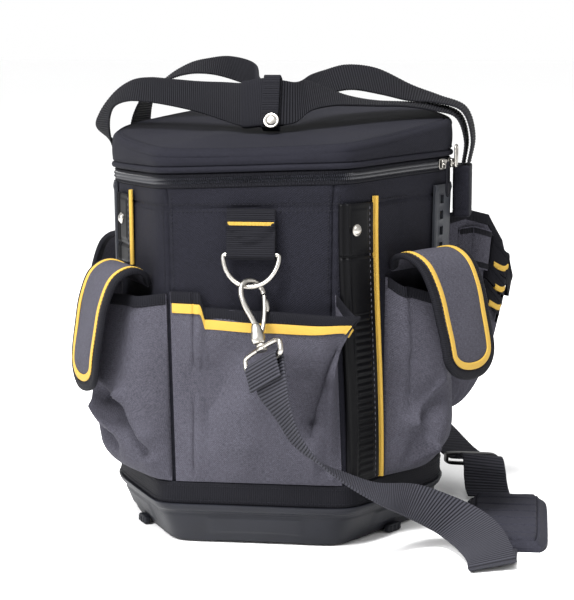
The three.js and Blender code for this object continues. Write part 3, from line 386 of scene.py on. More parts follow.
def grid_lengths(points):
    """Lengths along a grid's rows, from their middles, and up its columns."""
    across = np.linalg.norm(np.diff(points, axis=1), axis=-1)
    up = np.linalg.norm(np.diff(points, axis=0), axis=-1)
    u = np.concatenate([np.zeros((len(points), 1)), np.cumsum(across, 1)], 1)
    v = np.concatenate([np.zeros((1, points.shape[1])), np.cumsum(up, 0)], 0)
    return np.stack([u - u[:, -1:] / 2, v], -1)


def ring_lengths(points):
    lengths = grid_lengths(points)
    lengths[..., 0] = np.median(lengths[..., 0], axis=0)
    return lengths


def capped(points, lengths):
    """Rings of points joined into a body, with its two ends closed."""
    count, columns = points.shape[:2]
    faces = list(grid_faces(count, columns, wrap=True).reshape(-1, 4))
    faces += [np.arange(columns), (count - 1) * columns + np.arange(columns)]
    return points.reshape(-1, 3), faces, lengths.reshape(-1, 2)


def closed(points, lengths):
    """Rings of points joined into a body, the last ring to the first."""
    count, columns = points.shape[:2]
    faces = grid_faces(count + 1, columns, wrap=True) % (count * columns)
    return points.reshape(-1, 3), faces.reshape(-1, 4), lengths.reshape(-1, 2)


def ring_solid(rows):
    points = np.stack(rows)
    return capped(points, ring_lengths(points))


def ring_loop(rows):
    points = np.stack(rows)
    return closed(points, ring_lengths(points))


def thick_sheet(outer, inner, mask=None):
    """A closed sheet between two grids. Cells outside the mask are cut through."""
    rows, columns = outer.shape[:2]
    count = rows * columns
    cells = np.ones((rows - 1, columns - 1), bool) if mask is None else mask
    quads = grid_faces(rows, columns)
    faces = [quads[cells], quads[cells][:, ::-1] + count]
    framed = np.pad(cells, 1)
    neighbours = {
        (0, 1): framed[:-2, 1:-1],
        (1, 2): framed[1:-1, 2:],
        (2, 3): framed[2:, 1:-1],
        (3, 0): framed[1:-1, :-2],
    }
    for (start, end), beside in neighbours.items():
        edge = quads[cells & ~beside]
        wall = [edge[:, end], edge[:, start], edge[:, start] + count, edge[:, end] + count]
        faces.append(np.stack(wall, -1))
    faces = np.vstack(faces)
    lengths = grid_lengths(outer).reshape(-1, 2)
    points = np.vstack([outer.reshape(-1, 3), inner.reshape(-1, 3)])
    used = np.unique(faces)
    lookup = np.full(2 * count, -1)
    lookup[used] = np.arange(len(used))
    return points[used], lookup[faces], np.vstack([lengths, lengths])[used]


def rounded(width, thick, power=4.0, sides=18):
    """A flat outline with round edges."""
    angle = FULL_TURN * np.arange(sides) / sides
    x, y = np.cos(angle), np.sin(angle)
    reach = (np.abs(x) ** power + np.abs(y) ** power) ** (-1 / power)
    return np.stack([x * reach * width / 2, y * reach * thick / 2], 1)


def square_frame(tangent, facing):
    """Sides and normals square to the tangents, the normals as near to facing as they can be."""
    facing = np.broadcast_to(np.asarray(facing, float), tangent.shape)
    normal = unit(facing - tangent * (facing * tangent).sum(-1, keepdims=True))
    return np.cross(normal, tangent), normal


def carried(path, side, normal, profile):
    """Rings of a profile, with offsets along side and normal, at each point of a path."""
    return path[:, None] + side[:, None] * profile[None, :, :1] + normal[:, None] * profile[None, :, 1:]


def sweep(path, side, normal, profile):
    """A profile carried along a path."""
    lengths = np.stack(np.broadcast_arrays(arc_length(path)[:, None], profile[None, :, 0]), -1)
    return capped(carried(path, side, normal, profile), lengths)


def lay(path, facing, profile):
    """A profile carried along a path, its normal as near to facing as it can be."""
    return sweep(path, *square_frame(unit(np.gradient(path, axis=0)), facing), profile)


def wire(path, radius, facing, sides=14):
    return lay(path, facing, rounded(2 * radius, 2 * radius, 2.0, sides))


def loop(path, facing, profile):
    """A profile carried round a closed path."""
    tangent = unit(np.roll(path, -1, 0) - np.roll(path, 1, 0))
    lengths = np.stack(np.broadcast_arrays(np.arange(len(path))[:, None] * 1.0, profile[None, :, 0]), -1)
    return closed(carried(path, *square_frame(tangent, facing), profile), lengths)


def wire_loop(path, radius, facing, sides=14):
    return loop(path, facing, rounded(2 * radius, 2 * radius, 2.0, sides))


def joined(*bodies):
    """Several bodies as one."""
    points, faces, lengths, start = [], [], [], 0
    for body_points, body_faces, body_lengths in bodies:
        points.append(body_points)
        faces += [np.asarray(face) + start for face in body_faces]
        lengths.append(body_lengths)
        start += len(body_points)
    return np.vstack(points), faces, np.vstack(lengths)


def lathe(profile, base, axis, sides=32):
    """A round body of (radius, height) rows about an axis from a base point."""
    axis = unit(np.asarray(axis, float))
    helper = np.array([1.0, 0, 0]) if abs(axis[0]) < 0.8 else np.array([0, 1.0, 0])
    first = unit(np.cross(axis, helper))
    second = np.cross(axis, first)
    angle = FULL_TURN * np.arange(sides) / sides
    circle = np.cos(angle)[:, None] * first + np.sin(angle)[:, None] * second
    points = np.stack([base + axis * height + circle * max(radius, 0.02) for radius, height in profile])
    return capped(points, points[..., :2])


def block(size, middle, axes, power=6.0, steps=10):
    """A block with rounded edges: sizes along three axes from its middle."""
    lines = np.linspace(-1, 1, steps + 1)
    a, b = np.meshgrid(lines, lines, indexing="ij")
    one = np.ones_like(a)
    points, faces, start = [], [], 0
    for x, y, z in ((a, b, one), (b, a, -one), (one, a, b), (-one, b, a), (b, one, a), (a, -one, b)):
        cube = np.stack([x, y, z], -1).reshape(-1, 3)
        reach = (np.abs(cube) ** power).sum(1) ** (-1 / power)
        points.append(cube * reach[:, None])
        faces.append(grid_faces(steps + 1, steps + 1).reshape(-1, 4) + start)
        start += len(cube)
    local = np.vstack(points)
    _, first, back = np.unique(np.round(local, 6), axis=0, return_index=True, return_inverse=True)
    half = np.asarray(size, float) / 2
    placed = np.asarray(middle) + (local[first] * half) @ np.asarray(axes, float)
    return placed, list(back.reshape(-1)[np.vstack(faces)]), local[first][:, :2] * half[:2]


# A stitch: corners along, across and up as shares of its length, width and height, then its faces
STITCH_CORNERS = (
    (-0.5, 0, 0), (-0.25, 0.5, 0.5), (-0.25, -0.5, 0.5), (-0.25, 0, 1),
    (0.25, 0.5, 0.5), (0.25, -0.5, 0.5), (0.25, 0, 1), (0.5, 0, 0),
)
STITCH_FACES = (
    (0, 1, 3), (0, 3, 2), (0, 2, 1), (1, 4, 6, 3), (3, 6, 5, 2), (2, 5, 4, 1),
    (7, 6, 4), (7, 5, 6), (7, 4, 5),
)
SEAMS = {"black": [], "grey": [], "yellow": []}


def repeated(middles, corners, faces):
    """Copies of a small body at each middle, from its corners there."""
    points = (middles[:, None] + np.stack(corners, 1)).reshape(-1, 3)
    count = len(corners)
    copies = [[count * k + corner for corner in face] for k in range(len(middles)) for face in faces]
    return points, copies, points[:, :2]


def sew(colour, path, facing, pitch=3.2, length=2.2, width=0.8, height=0.5):
    """Puts a row of stitches along a path on a surface."""
    run = arc_length(path)
    at = np.arange(pitch / 2, run[-1], pitch)
    tangent = unit(resample(at, run, np.gradient(path, axis=0)))
    normal = unit(resample(at, run, np.broadcast_to(np.asarray(facing, float), path.shape)))
    side = np.cross(normal, tangent)
    corners = [
        tangent * along * length + side * across * width + normal * up * height
        for along, across, up in STITCH_CORNERS
    ]
    SEAMS[colour].append(repeated(resample(at, run, path), corners, STITCH_FACES))


# Tray and feet

TRAY_FLOOR = 3.2
TRAY_WALL = 3.0
FOOT_AZIMUTHS = (58, 122, 238, 302)
FOOT_MIDDLE = 3.5


def make_tray():
    azimuth = round_azimuths(1.25)
    near = np.max(np.cos(np.radians(azimuth[:, None] - FACETS[:, 0])), axis=1)
    arch = 2.2 * smooth(near, 0.93, 1)
    panel = smooth(near, 0.955, 0.965)
    rows = [on_plan(azimuth, 0.0, AXIS_SHARE), on_plan(azimuth, 0.0, 0.6), on_plan(azimuth, 0.0, inset=8)]
    for inset, z in ((5.2, 0.2), (3, 0.9), (1.2, 1.8)):
        rows.append(on_plan(azimuth, z + arch * 0.4, inset=inset))
    for z in np.linspace(TRAY_FLOOR, 27.4, 26):
        level = z + arch * smooth(27 - z, 0, 20)
        lift = 1.2 * panel * plateau(z, 7.5, 23.5, 1.5)
        groove = 0.7 * ridge(z, 25.2, 0.9)
        rows.append(on_plan(azimuth, level, inset=0.9 - lift + groove))
    rim = ((0, 28), (-0.9, 28.6), (-1.4, 29.4), (-1.5, 30.5), (-1.5, 33), (-1.1, 33.8), (-0.4, 34))
    inside = ((2.4, 34), (2.9, 33.6), (TRAY_WALL, 32), (TRAY_WALL, 18), (TRAY_WALL, TRAY_FLOOR))
    rows += [on_plan(azimuth, z, inset=inset) for inset, z in rim + inside]
    rows.append(on_plan(azimuth, TRAY_FLOOR, AXIS_SHARE))
    add("tray", ring_solid(rows), TRAY, "base_tray", crease=35)


def make_feet():
    for index, azimuth in enumerate(FOOT_AZIMUTHS, 1):
        axes = wall_axes(azimuth, FOOT_MIDDLE)
        tangent, normal, _ = axes
        middle = on_plan(azimuth, FOOT_MIDDLE) + normal * 2.9
        grip = [block((19, 5.6, 6.9), middle, axes, 5)]
        for shift in (-5.5, 0, 5.5):
            grip.append(block((2.2, 1.4, 5), middle + tangent * shift + normal * 2.7, axes, 4, 6))
        add(f"tray_foot_{index}", joined(*grip), TRAY, f"foot_{index}")


# Body, band, zip and lid

PANEL_SEAMS = (-25.9, 24.4, 154.2, 204.4)
SEAM_STEPS = (-1, -0.6, -0.3, 0, 0.3, 0.6, 1)
YOKE_Z = 272.0
BODY_FLOOR = 3.7
BODY_WALL = 3.0


def yoke_height(azimuth):
    return YOKE_Z + 0.5 * zip_rise(azimuth)


def body_azimuths():
    stops = list(np.arange(0, 360, 1.5))
    stops += [(seam + step) % 360 for seam in PANEL_SEAMS for step in SEAM_STEPS]
    return 180 + np.unique(np.round((np.array(stops) - 180) % 360, 2))


def body_sink(azimuth, z):
    """How far the cloth sinks between its seams and along them."""
    base = on_plan(azimuth, z, inset=BODY_INSET)
    sink = 1.3 * (0.5 + 0.5 * ripple(base, 85, 3)) * smooth(z, 190, 225) * (1 - smooth(z, 276, 286))
    for seam in PANEL_SEAMS:
        off = (azimuth - seam + 180) % 360 - 180
        sink = sink + 1.5 * ridge(off, 0, 0.45) + 0.6 * ridge(off, 0, 2.2) * (0.5 + 0.5 * np.sin(z * 0.5))
    yoke = yoke_height(azimuth)
    return sink + 1.2 * ridge(z, yoke, 1.3) + 0.5 * ridge(z, yoke, 5) * (0.5 + 0.5 * np.sin(azimuth * 1.7))


def make_body():
    azimuth = body_azimuths()
    top = BODY_TOP + zip_rise(azimuth)
    rows = [on_plan(azimuth, BODY_FLOOR, share) for share in (AXIS_SHARE, 0.6)]
    rows.append(on_plan(azimuth, BODY_FLOOR, inset=5.2))
    rows += [on_plan(azimuth, z, inset=BODY_INSET + 1.2 * (1 - z / RIM_Z)) for z in (6, 14, 24, 33.5)]
    for share in np.linspace(0, 1, 130):
        z = mix(RIM_Z + 1, top, share)
        rows.append(on_plan(azimuth, z, inset=BODY_INSET + body_sink(azimuth, z)))
    rows += [on_plan(azimuth, top + 0.2, inset=inset) for inset in (4.2, 5.6)]
    inside = BODY_INSET + BODY_WALL
    rows += [on_plan(azimuth, mix(top, 7, share), inset=inside) for share in np.linspace(0, 1, 16)]
    rows.append(on_plan(azimuth, 6.8, AXIS_SHARE))
    add("body", ring_solid(rows), BLACK, "body_shell")
    for seam in PANEL_SEAMS[:2]:
        for shift in (-1.5, 1.5):
            z = np.linspace(BAND_TOP + 155, 284, 80)
            sew("black", wall_point(seam + shift, z, -0.5), wall_normal(seam + shift, z))
    line = np.linspace(-60, 60, 200)
    for drop in (-2.6, 2.6):
        z = yoke_height(line) + drop
        sew("black", wall_point(line, z, -0.6), wall_normal(line, z))


def make_band():
    azimuth = round_azimuths(1.0)
    outline = [(3.1, 34.4), (1.6, 34.4), (1.1, 35.2)]
    outline += [(1.0 + 0.12 * math.cos(k * math.pi), mix(36, 50.5, k / 14)) for k in range(15)]
    outline += [(1.1, 51.4), (1.7, BAND_TOP), (3.1, BAND_TOP)]
    rows = [on_plan(azimuth, z, inset=inset) for inset, z in outline]
    add("bottom_binding", ring_loop(rows), BINDING, "bottom_band")
    line = np.linspace(0, 360, 700)
    for z in (37.5, 49):
        sew("black", on_plan(line, z, inset=1.0), wall_normal(line, z))


TOOTH_PITCH = 1.7
TOOTH_SINK = 2.1
TOOTH_TALL, TOOTH_WIDE, TOOTH_DEEP = 3.4, 1.5, 1.2
TOOTH_FACES = ((0, 1, 2), (0, 2, 3), (4, 2, 1), (4, 3, 2), (0, 5, 1), (0, 3, 5), (4, 1, 5), (4, 5, 3))


def teeth(rise, start):
    """A row of small coil turns round the plan."""
    fine = np.linspace(0, 360, 2000)
    run = arc_length(on_plan(fine, ZIP_Z))
    azimuth = np.interp(np.arange(start, run[-1], TOOTH_PITCH), run, fine)
    z = BODY_TOP + rise + zip_rise(azimuth)
    normal = wall_normal(azimuth, z)
    tangent = sideways(normal)
    top = UP * TOOTH_TALL / 2 + 0 * normal
    edge = tangent * TOOTH_WIDE / 2
    corners = [top, edge, normal * TOOTH_DEEP, -edge, -top, -normal * TOOTH_DEEP * 0.4]
    return repeated(on_plan(azimuth, z, inset=TOOTH_SINK), corners, TOOTH_FACES)


def make_zip():
    azimuth = round_azimuths(1.0)
    low = BODY_TOP + zip_rise(azimuth) + 0.4
    high = LID_BOTTOM + zip_rise(azimuth) - 0.4
    outline = (
        (5.5, 0), (3.2, 0), (2.5, 0.1), (2.2, 0.22), (2.5, 0.35), (3.0, 0.45),
        (3.0, 0.6), (2.5, 0.7), (2.2, 0.82), (2.5, 0.93), (3.2, 1), (5.5, 1),
    )
    rows = [on_plan(azimuth, mix(low, high, share), inset=inset) for inset, share in outline]
    add("zip_tape", ring_loop(rows), BINDING, "zip_band", slot="black_cloth")
    add("zip_teeth", joined(teeth(5.0, 0.0), teeth(7.6, TOOTH_PITCH / 2)), COIL, crease=80)
    line = np.linspace(0, 360, 800)
    for rise in (1.9, 10.6):
        z = BODY_TOP + zip_rise(line) + rise
        sew("black", on_plan(line, z, inset=2.2), wall_normal(line, z), pitch=2.6, length=1.8)


LID_THICK = 6.0


def lid_top(azimuth, share):
    angle = np.radians(azimuth)
    seam = 331 - 14 * np.cos(angle) + 5.5 * np.sin(angle)
    return mix(LID_CROWN, seam, share**1.4)


def make_lid():
    azimuth = round_azimuths(1.25)
    foot = LID_BOTTOM + zip_rise(azimuth)
    edge = lid_top(azimuth, 1)
    rows = []
    for share in np.concatenate([[AXIS_SHARE], np.linspace(0.02, 0.9, 55), np.linspace(0.905, 0.968, 14)]):
        z = lid_top(azimuth, share)
        swell = 1.1 * ripple(on_plan(azimuth, z, share), 120, 21) * (1 - share**4)
        rows.append(on_plan(azimuth, z + swell - 1.0 * ridge(share, 0.955, 0.006), share))
    for angle in np.radians((15, 35, 55, 75, 90)):
        drop = 4.5 * (1 - math.cos(angle)) + 0.4
        rows.append(on_plan(azimuth, edge - drop, inset=0.4 + 4.6 * (1 - math.sin(angle))))
    for share in np.linspace(0.04, 1, 34):
        z = mix(edge - 5, foot + 5.2, share)
        swell = 0.8 * math.sin(math.pi * share) + 0.35 * ripple(on_plan(azimuth, z), 60, 5)
        rows.append(on_plan(azimuth, z, inset=0.7 - swell + 0.9 * ridge(share, 1, 0.03)))
    hem = ((0.9, 4.6), (0.1, 4.2), (-0.5, 3.4), (-0.7, 2.4), (-0.5, 1.4), (0.2, 0.5), (1.5, 0.1), (5.6, 0))
    rows += [on_plan(azimuth, foot + rise, inset=inset) for inset, rise in hem]
    rows.append(on_plan(azimuth, edge - LID_THICK, inset=5.6))
    rows.append(on_plan(azimuth, lid_top(azimuth, 0.65) - LID_THICK, 0.6))
    rows.append(on_plan(azimuth, lid_top(azimuth, 0.05) - LID_THICK, AXIS_SHARE))
    lid = add("lid_cover", ring_solid(rows), BLACK, "lid", crease=60)
    line = np.linspace(0, 360, 800)
    sew("black", on_plan(line, lid_top(line, 0.94) + 0.1, 0.94), UP, pitch=3.4)
    sew("black", on_plan(line, LID_BOTTOM + zip_rise(line) + 7, inset=0.6), wall_normal(line, ZIP_Z))


SLIDER_AZIMUTHS = (79.0, 86.0)
BRIDGE = ((-4.2, 3.8), (-3.6, 4.9), (-1.5, 5.2), (1.5, 5.2), (3.6, 4.9), (4.2, 3.8))
METAL_PULL = (
    (-2.6, -2.4), (-3, 3), (-3.4, 9), (-3.2, 13), (0, 14.6),
    (3.2, 13), (3.4, 9), (3, 3), (2.6, -2.4), (0, -3),
)
CORD_PULL = (
    (0, 1.5), (-1.6, -3), (-2, -10), (-1.8, -18), (-1.2, -25),
    (0, -26), (1.2, -25), (1.8, -18), (2, -10), (1.6, -3),
)


def slider_place(azimuth, out):
    """A point at a zip slider, out from the body, with the ways along, out and up there."""
    z = BODY_TOP + zip_rise(azimuth) + 6.5
    return wall_point(azimuth, z, out), wall_axes(azimuth, z)


def make_sliders():
    for index, azimuth in enumerate(SLIDER_AZIMUTHS, 1):
        base, axes = slider_place(azimuth, 1.8)
        tangent, normal, _ = axes
        bridge = [base + normal * out + tangent * along for along, out in BRIDGE]
        slider = joined(
            block((11, 1.6, 8.6), base + normal * 0.9, axes, 5),
            block((10, 1.8, 7.6), base + normal * 3.3, axes, 4),
            block((3, 4, 3), base + normal * 2.2 + tangent * 3, axes, 4),
            wire(spline(bridge, 24), 0.75, normal, 10),
        )
        add(f"slider_{index}", slider, NICKEL, f"zip_slider_{index}")
    cord_azimuth, metal_azimuth = SLIDER_AZIMUTHS
    # name, azimuth, stand-off, outline, points, wire radius, tab size, tab rise, material, CAD node
    for name, azimuth, out, outline, count, radius, tab, rise, material, node in (
        ("puller_metal", metal_azimuth, 8.3, METAL_PULL, 61, 1.0, (5.6, 1.3, 9), 9, NICKEL, "zip_pull_2"),
        ("puller_cord", cord_azimuth, 8.2, CORD_PULL, 101, 1.1, (6, 2.4, 9), -20, BINDING, "zip_pull_1"),
    ):
        base, axes = slider_place(azimuth, out)
        tangent, normal, _ = axes
        ring = [base + tangent * along + UP * up for along, up in (*outline, outline[0])]
        points, faces, _ = joined(
            wire_loop(spline(ring, count)[:-1], radius, normal),
            block(tab, base + UP * rise, axes, 4),
        )
        add(name, (points, faces, points[:, :2]), material, node)


# Moulded strips, rivets and piping

STRIP_STAND = 0.6
STRIP_TOP = 276.0
STRIP_RIB = 5.4
STRIPS = (
    # name, left edge, right edge, lower end, how far each edge moves right at the foot, ribbed
    ("front", 25.5, 38.2, BAND_TOP + 1.5, 3.6, 5.3, True),
    ("left", -71.0, -55.2, 219.0, 0.0, 0.0, False),
    ("rear", 205.5, 218.2, BAND_TOP + 1.5, 3.6, 5.3, True),
)
RIVET_Z = 255.0
RIVET = (
    (0, 0), (4.6, 0), (4.6, 0.7), (4.2, 1.1), (3.7, 1.2),
    (3.5, 1.5), (2.9, 2.2), (2.1, 2.7), (1.1, 3), (0, 3.1),
)
PIPING_TOP = 280.0
PIPING_RADIUS = 1.75


def strip_lift(share, level, bottom, ribs):
    """How far a strip's face stands up, by the share across it and the height."""
    lift = np.full(level.shape, 2.0)
    lift += 1.1 * ridge(share, 0.06, 0.035) + 1.1 * ridge(share, 0.2, 0.035)
    field = plateau(share, 0.28, 0.78, 0.02)
    if ribs:
        wave = 1.25 * np.abs(np.sin(math.pi * (level - 58) / STRIP_RIB)) ** 1.6 - 0.3
        lift += field * plateau(level, 57, 190, 1) * wave
    lift -= 1.4 * ridge(level, 234, 1.3) + 0.5 * ridge(share, 0.86, 0.02)
    lift += 0.5 * field * plateau(level, 238, 272, 2)
    rim = np.minimum(smooth(share, 0, 0.02), 1 - smooth(share, 0.985, 1))
    ends = np.minimum(smooth(level, bottom, bottom + 1.5), 1 - smooth(level, STRIP_TOP - 1.5, STRIP_TOP))
    return lift * (0.45 + 0.55 * rim) * (0.55 + 0.45 * ends)


def make_strips():
    share = np.concatenate([
        np.linspace(0, 0.32, 28), np.linspace(0.34, 0.78, 14), np.linspace(0.79, 1, 12),
    ])
    for name, left, right, bottom, shift, spread, ribs in STRIPS:
        z = np.arange(bottom, STRIP_TOP + 0.01, 0.65)
        drift = 1 - smooth(z, bottom, STRIP_TOP)
        start, end = left + shift * drift, right + spread * drift
        azimuth = mix(start[:, None], end[:, None], share)
        level = np.broadcast_to(z[:, None], azimuth.shape)
        outer = wall_point(azimuth, level, STRIP_STAND + strip_lift(share, level, bottom, ribs))
        inner = wall_point(azimuth, level, STRIP_STAND)
        add(f"strip_{name}", thick_sheet(outer, inner), STRIP, f"corner_strip_{name}", crease=60)
        seam = mix(start, end, 0.86)
        sew("grey", wall_point(seam, z, STRIP_STAND + 1.6), wall_normal(seam, z), pitch=4.6, length=2.6)

        middle = mix(left, right, 0.4)
        seat = wall_point(middle, RIVET_Z, STRIP_STAND + 2.5)
        rivet = lathe(RIVET, seat, wall_normal(middle, RIVET_Z))
        add(f"rivet_{name}", rivet, NICKEL, f"strip_rivet_{name}", crease=40)

        z = np.linspace(bottom, PIPING_TOP, 120)
        middle = right + spread * (1 - smooth(z, bottom, STRIP_TOP)) + 1.5
        facing = wall_normal(middle, z)
        cord = wire(wall_point(middle, z, 1.6 + STRIP_STAND), PIPING_RADIUS, facing, 16)
        flange = lay(wall_point(middle - 0.75, z, STRIP_STAND + 0.5), facing, rounded(3.2, 0.9))
        add(f"piping_cord_{name}", joined(cord, flange), YELLOW, f"piping_{name}")


PLATE_LOW, PLATE_HIGH = 70.0, 283.0
PLATE_DEGREE = 2.4  # length of a degree round the plates
HOLE_WIDE, HOLE_TALL = 6.0, 7.0
HOLE_FIRST, HOLE_PITCH, HOLE_COUNT = 206.0, 13.0, 6
# name, left edge, right edge, columns of holes
PLATES = (("right", 75.0, 105.0, (79.5, 100.5)), ("left", -105.0, -75.0, ()))


def make_plates():
    half_wide, half_tall = HOLE_WIDE / 2 / PLATE_DEGREE, HOLE_TALL / 2
    for name, left, right, columns in PLATES:
        holes = [(column, HOLE_FIRST + HOLE_PITCH * k) for column in columns for k in range(HOLE_COUNT)]
        stops = list(np.linspace(left, right, 41))
        levels = list(np.linspace(PLATE_LOW, PLATE_HIGH, 60))
        for column, middle in holes:
            for side in (-1, 1):
                stops += [column + side * half_wide, column + side * (half_wide + 0.4)]
                levels += [middle + side * half_tall, middle + side * (half_tall + 1.1)]
        stops, levels = np.unique(np.round(stops, 3)), np.unique(np.round(levels, 3))
        azimuth, z = np.meshgrid(stops, levels)
        share = (azimuth - left) / (right - left)
        lift = 2.0 + 0.9 * ridge(share, 0.03, 0.02) + 0.9 * ridge(share, 0.97, 0.02)
        lift += 0.5 * ridge(share, 0.5, 0.25) ** 4
        lift += 0.8 * ridge(z, 279, 2) + 0.8 * ridge(z, 74, 2)
        cell_azimuth = (azimuth[1:, 1:] + azimuth[1:, :-1]) / 2
        cell_z = (z[1:, 1:] + z[:-1, 1:]) / 2
        keep = np.ones(cell_z.shape, bool)
        for column, middle in holes:
            beside = np.abs(azimuth - column) * PLATE_DEGREE - HOLE_WIDE / 2
            around = np.maximum(beside, np.abs(z - middle) - half_tall)
            lift = lift + 0.6 * (1 - smooth(around, 0.2, 1.4))
            keep &= (np.abs(cell_azimuth - column) > half_wide) | (np.abs(cell_z - middle) > half_tall)
        outer, inner = wall_point(azimuth, z, STRIP_STAND + lift), wall_point(azimuth, z, STRIP_STAND)
        add(f"plate_{name}", thick_sheet(outer, inner, keep), PLATE, f"side_plate_{name}", crease=40)


# Pockets. A mouth table has across, height and stand-off. A fold is a line on the cloth, from a place
# across and up it to another, with its reach, its depth and how sharp it is. The cut is the cloth's width
# and height.

FLAP_POCKET_MOUTH = ((0, 214, 0), (0.14, 206, 13), (0.5, 199, 30), (0.86, 206, 16), (1, 216, 0))
FLAP_POCKET_FOLDS = (
    (0.46, 0.44, 0.36, 0.37, 18, -13, 2),
    (0.50, 0.53, 0.16, 0.30, 5, 5.5, 1.1),
    (0.16, 0.29, 0.40, 0.15, 5.5, 6, 1.1),
    (0.40, 0.15, 0.18, 0.01, 6, 4, 1.3),
    (0.088, 0.62, 0.06, 0.25, 4.5, 2.4, 1.6),
    (0.15, 0.62, 0.12, 0.34, 6, -2.4, 2),
    (0.27, 0.20, 0.23, 0.10, 10, -4, 2),
    (0.80, 0.50, 0.70, 0.20, 9, 4, 1.4),
)
# What several pockets share. A pocket's own row may say otherwise.
FLAP_POCKET = dict(belly=25, cut=(105, 150), mouth=FLAP_POCKET_MOUTH, folds=FLAP_POCKET_FOLDS)
POCKET = dict(bottom=POCKET_BOTTOM, belly=5, sag=0.75, rise=0.7, lean=0, spread=0, grid=(100, 110))
POCKETS = {
    "front_pocket": dict(
        left=-25.4, right=25.0, spread=3.0, lean=9.5, cut=(135, 150), grid=(150, 120),
        mouth=(
            (0, 205, 0), (0.17, 205, 2.5), (0.2, 193, 2.5), (0.55, 192, 11),
            (0.88, 191, 25), (0.94, 189.5, 26), (1, 205, 0),
        ),
        folds=(
            (0.14, 1.0, 0.102, 0.0, 1.8, -2.6, 2),
            (0.165, 1.0, 0.127, 0.0, 5, 1.6, 2),
            (0.378, 0.74, 0.223, 0.547, 17, -5.5, 2),
            (0.223, 0.547, 0.193, 0.33, 14, -4.5, 2),
            (0.39, 0.40, 0.37, 0.28, 22, 4, 2),
            (0.44, 0.20, 0.42, 0.05, 9, 2, 2),
            (0.79, 0.62, 0.79, 0.30, 10, -3, 2),
            (0.925, 0.80, 0.848, 0.375, 7, -10, 1.2),
            (0.848, 0.375, 0.84, 0.29, 6, -7, 1.2),
            (0.955, 0.58, 0.955, 0.12, 8, -7, 2),
            (0.85, 0.20, 0.85, 0.0, 2.6, 2, 1.3),
        ),
    ),
    "pocket_right": dict(FLAP_POCKET, left=46.4, right=74.3, sag=0.55),
    "pocket_left": dict(
        left=-72.0, right=-26.6, belly=25, sag=0.52, cut=(150, 150), grid=(140, 130),
        mouth=((0, 214, 0), (0.14, 206, 13), (0.5, 199, 30), (0.86, 200, 16), (1, 203, 0)),
        folds=(
            (0.60, 0.55, 0.80, 0.46, 6, 6, 1.1),
            (0.80, 0.46, 0.917, 0.25, 6, 6, 1.1),
            (0.917, 0.25, 0.927, 0.12, 5, 3.5, 1.3),
            (0.56, 0.44, 0.74, 0.36, 11, -20, 1.6),
            (0.74, 0.36, 0.87, 0.17, 9, -12, 1.6),
            (0.46, 0.36, 0.70, 0.27, 6, 6, 1.2),
            (0.70, 0.27, 0.89, 0.11, 6, 4.5, 1.2),
            (0.42, 0.25, 0.64, 0.18, 7, -11, 1.6),
        ),
    ),
    "pocket_rear_left": dict(FLAP_POCKET, left=226.4, right=254.3),
    "rear_pocket": dict(
        left=155.0, right=203.6, cut=(125, 140),
        mouth=((0, 205, 0), (0.1, 194, 5), (0.5, 182, 8), (0.9, 194, 5), (1, 205, 0)),
        folds=(
            (0.30, 0.60, 0.26, 0.20, 7, 1.6, 2),
            (0.72, 0.50, 0.78, 0.15, 6, -1.6, 1.5),
            (0.55, 0.30, 0.50, 0.12, 12, 1.6, 2),
        ),
    ),
    "tool_pocket": dict(
        left=105.9, right=150.0, bottom=POCKET_BOTTOM + 26, belly=4, rise=0.32,
        cut=(210, 130), grid=(130, 70),
        mouth=(
            (0, 250, 0), (0.03, 256, 26), (0.06, 250, 50), (0.09, 228, 65),
            (0.13, 205, 74), (0.75, 203, 56), (0.93, 225, 24), (1, 250, 0),
        ),
        folds=((0.4, 0.7, 0.42, 0.2, 14, 2.5, 2), (0.65, 0.6, 0.6, 0.25, 12, -2.5, 2)),
    ),
}
POCKETS = {name: {**POCKET, **spec} for name, spec in POCKETS.items()}


def fold_lift(spec, across, up):
    """How far the folds push the cloth out."""
    wide, tall = spec["cut"]
    total = np.zeros_like(up)
    for start_across, start_up, end_across, end_up, reach, depth, power in spec["folds"]:
        run_x, run_y = (end_across - start_across) * wide, (end_up - start_up) * tall
        x, y = (across - start_across) * wide, (up - start_up) * tall
        along = np.clip((x * run_x + y * run_y) / (run_x**2 + run_y**2), 0, 1)
        off = np.hypot(x - along * run_x, y - along * run_y)
        total += depth * np.exp(-((off / reach) ** power))
    return total


def sewn_down(across, up, side, foot):
    """0 where the cloth is sewn down at its sides and foot, rising to 1 away from them."""
    return np.minimum.reduce([np.ones_like(up), side * across, side * (1 - across), foot * up])


def pocket_point(spec, across, up):
    """The inner face of a pocket's cloth."""
    across, up = np.broadcast_arrays(np.asarray(across, float), np.asarray(up, float))
    lean = spec["lean"] * up**3 * np.sin(math.pi * across**4)
    azimuth = mix(spec["left"], spec["right"] + spec["spread"] * (1 - up), across) + lean
    z = mix(spec["bottom"], read_table(spec["mouth"], across, 1), up)
    out = read_table(spec["mouth"], across, 2) * up ** spec["rise"]
    swell = np.sin(math.pi * up ** spec["sag"]) * np.sin(math.pi * np.clip(across, 0, 1)) ** 0.7
    out = out + spec["belly"] * swell
    out = out + sewn_down(across, up, 12, 12) * fold_lift(spec, across, up)
    return wall_point(azimuth, z, GAP + np.maximum(0, out))


def cloth_normal(spec, across, up):
    across, up = np.broadcast_arrays(np.asarray(across, float), np.asarray(up, float))
    step = 0.01
    right = pocket_point(spec, np.minimum(1, across + step), up)
    left = pocket_point(spec, np.maximum(0, across - step), up)
    above = pocket_point(spec, across, np.minimum(1, up + step))
    below = pocket_point(spec, across, np.maximum(0, up - step))
    normal = unit(np.cross(right - left, above - below))
    free = sewn_down(across, up, 12, 8)[..., None]
    wall = wall_normal(mix(spec["left"], spec["right"], across), spec["bottom"])
    return unit(normal * free + wall * (1 - free))


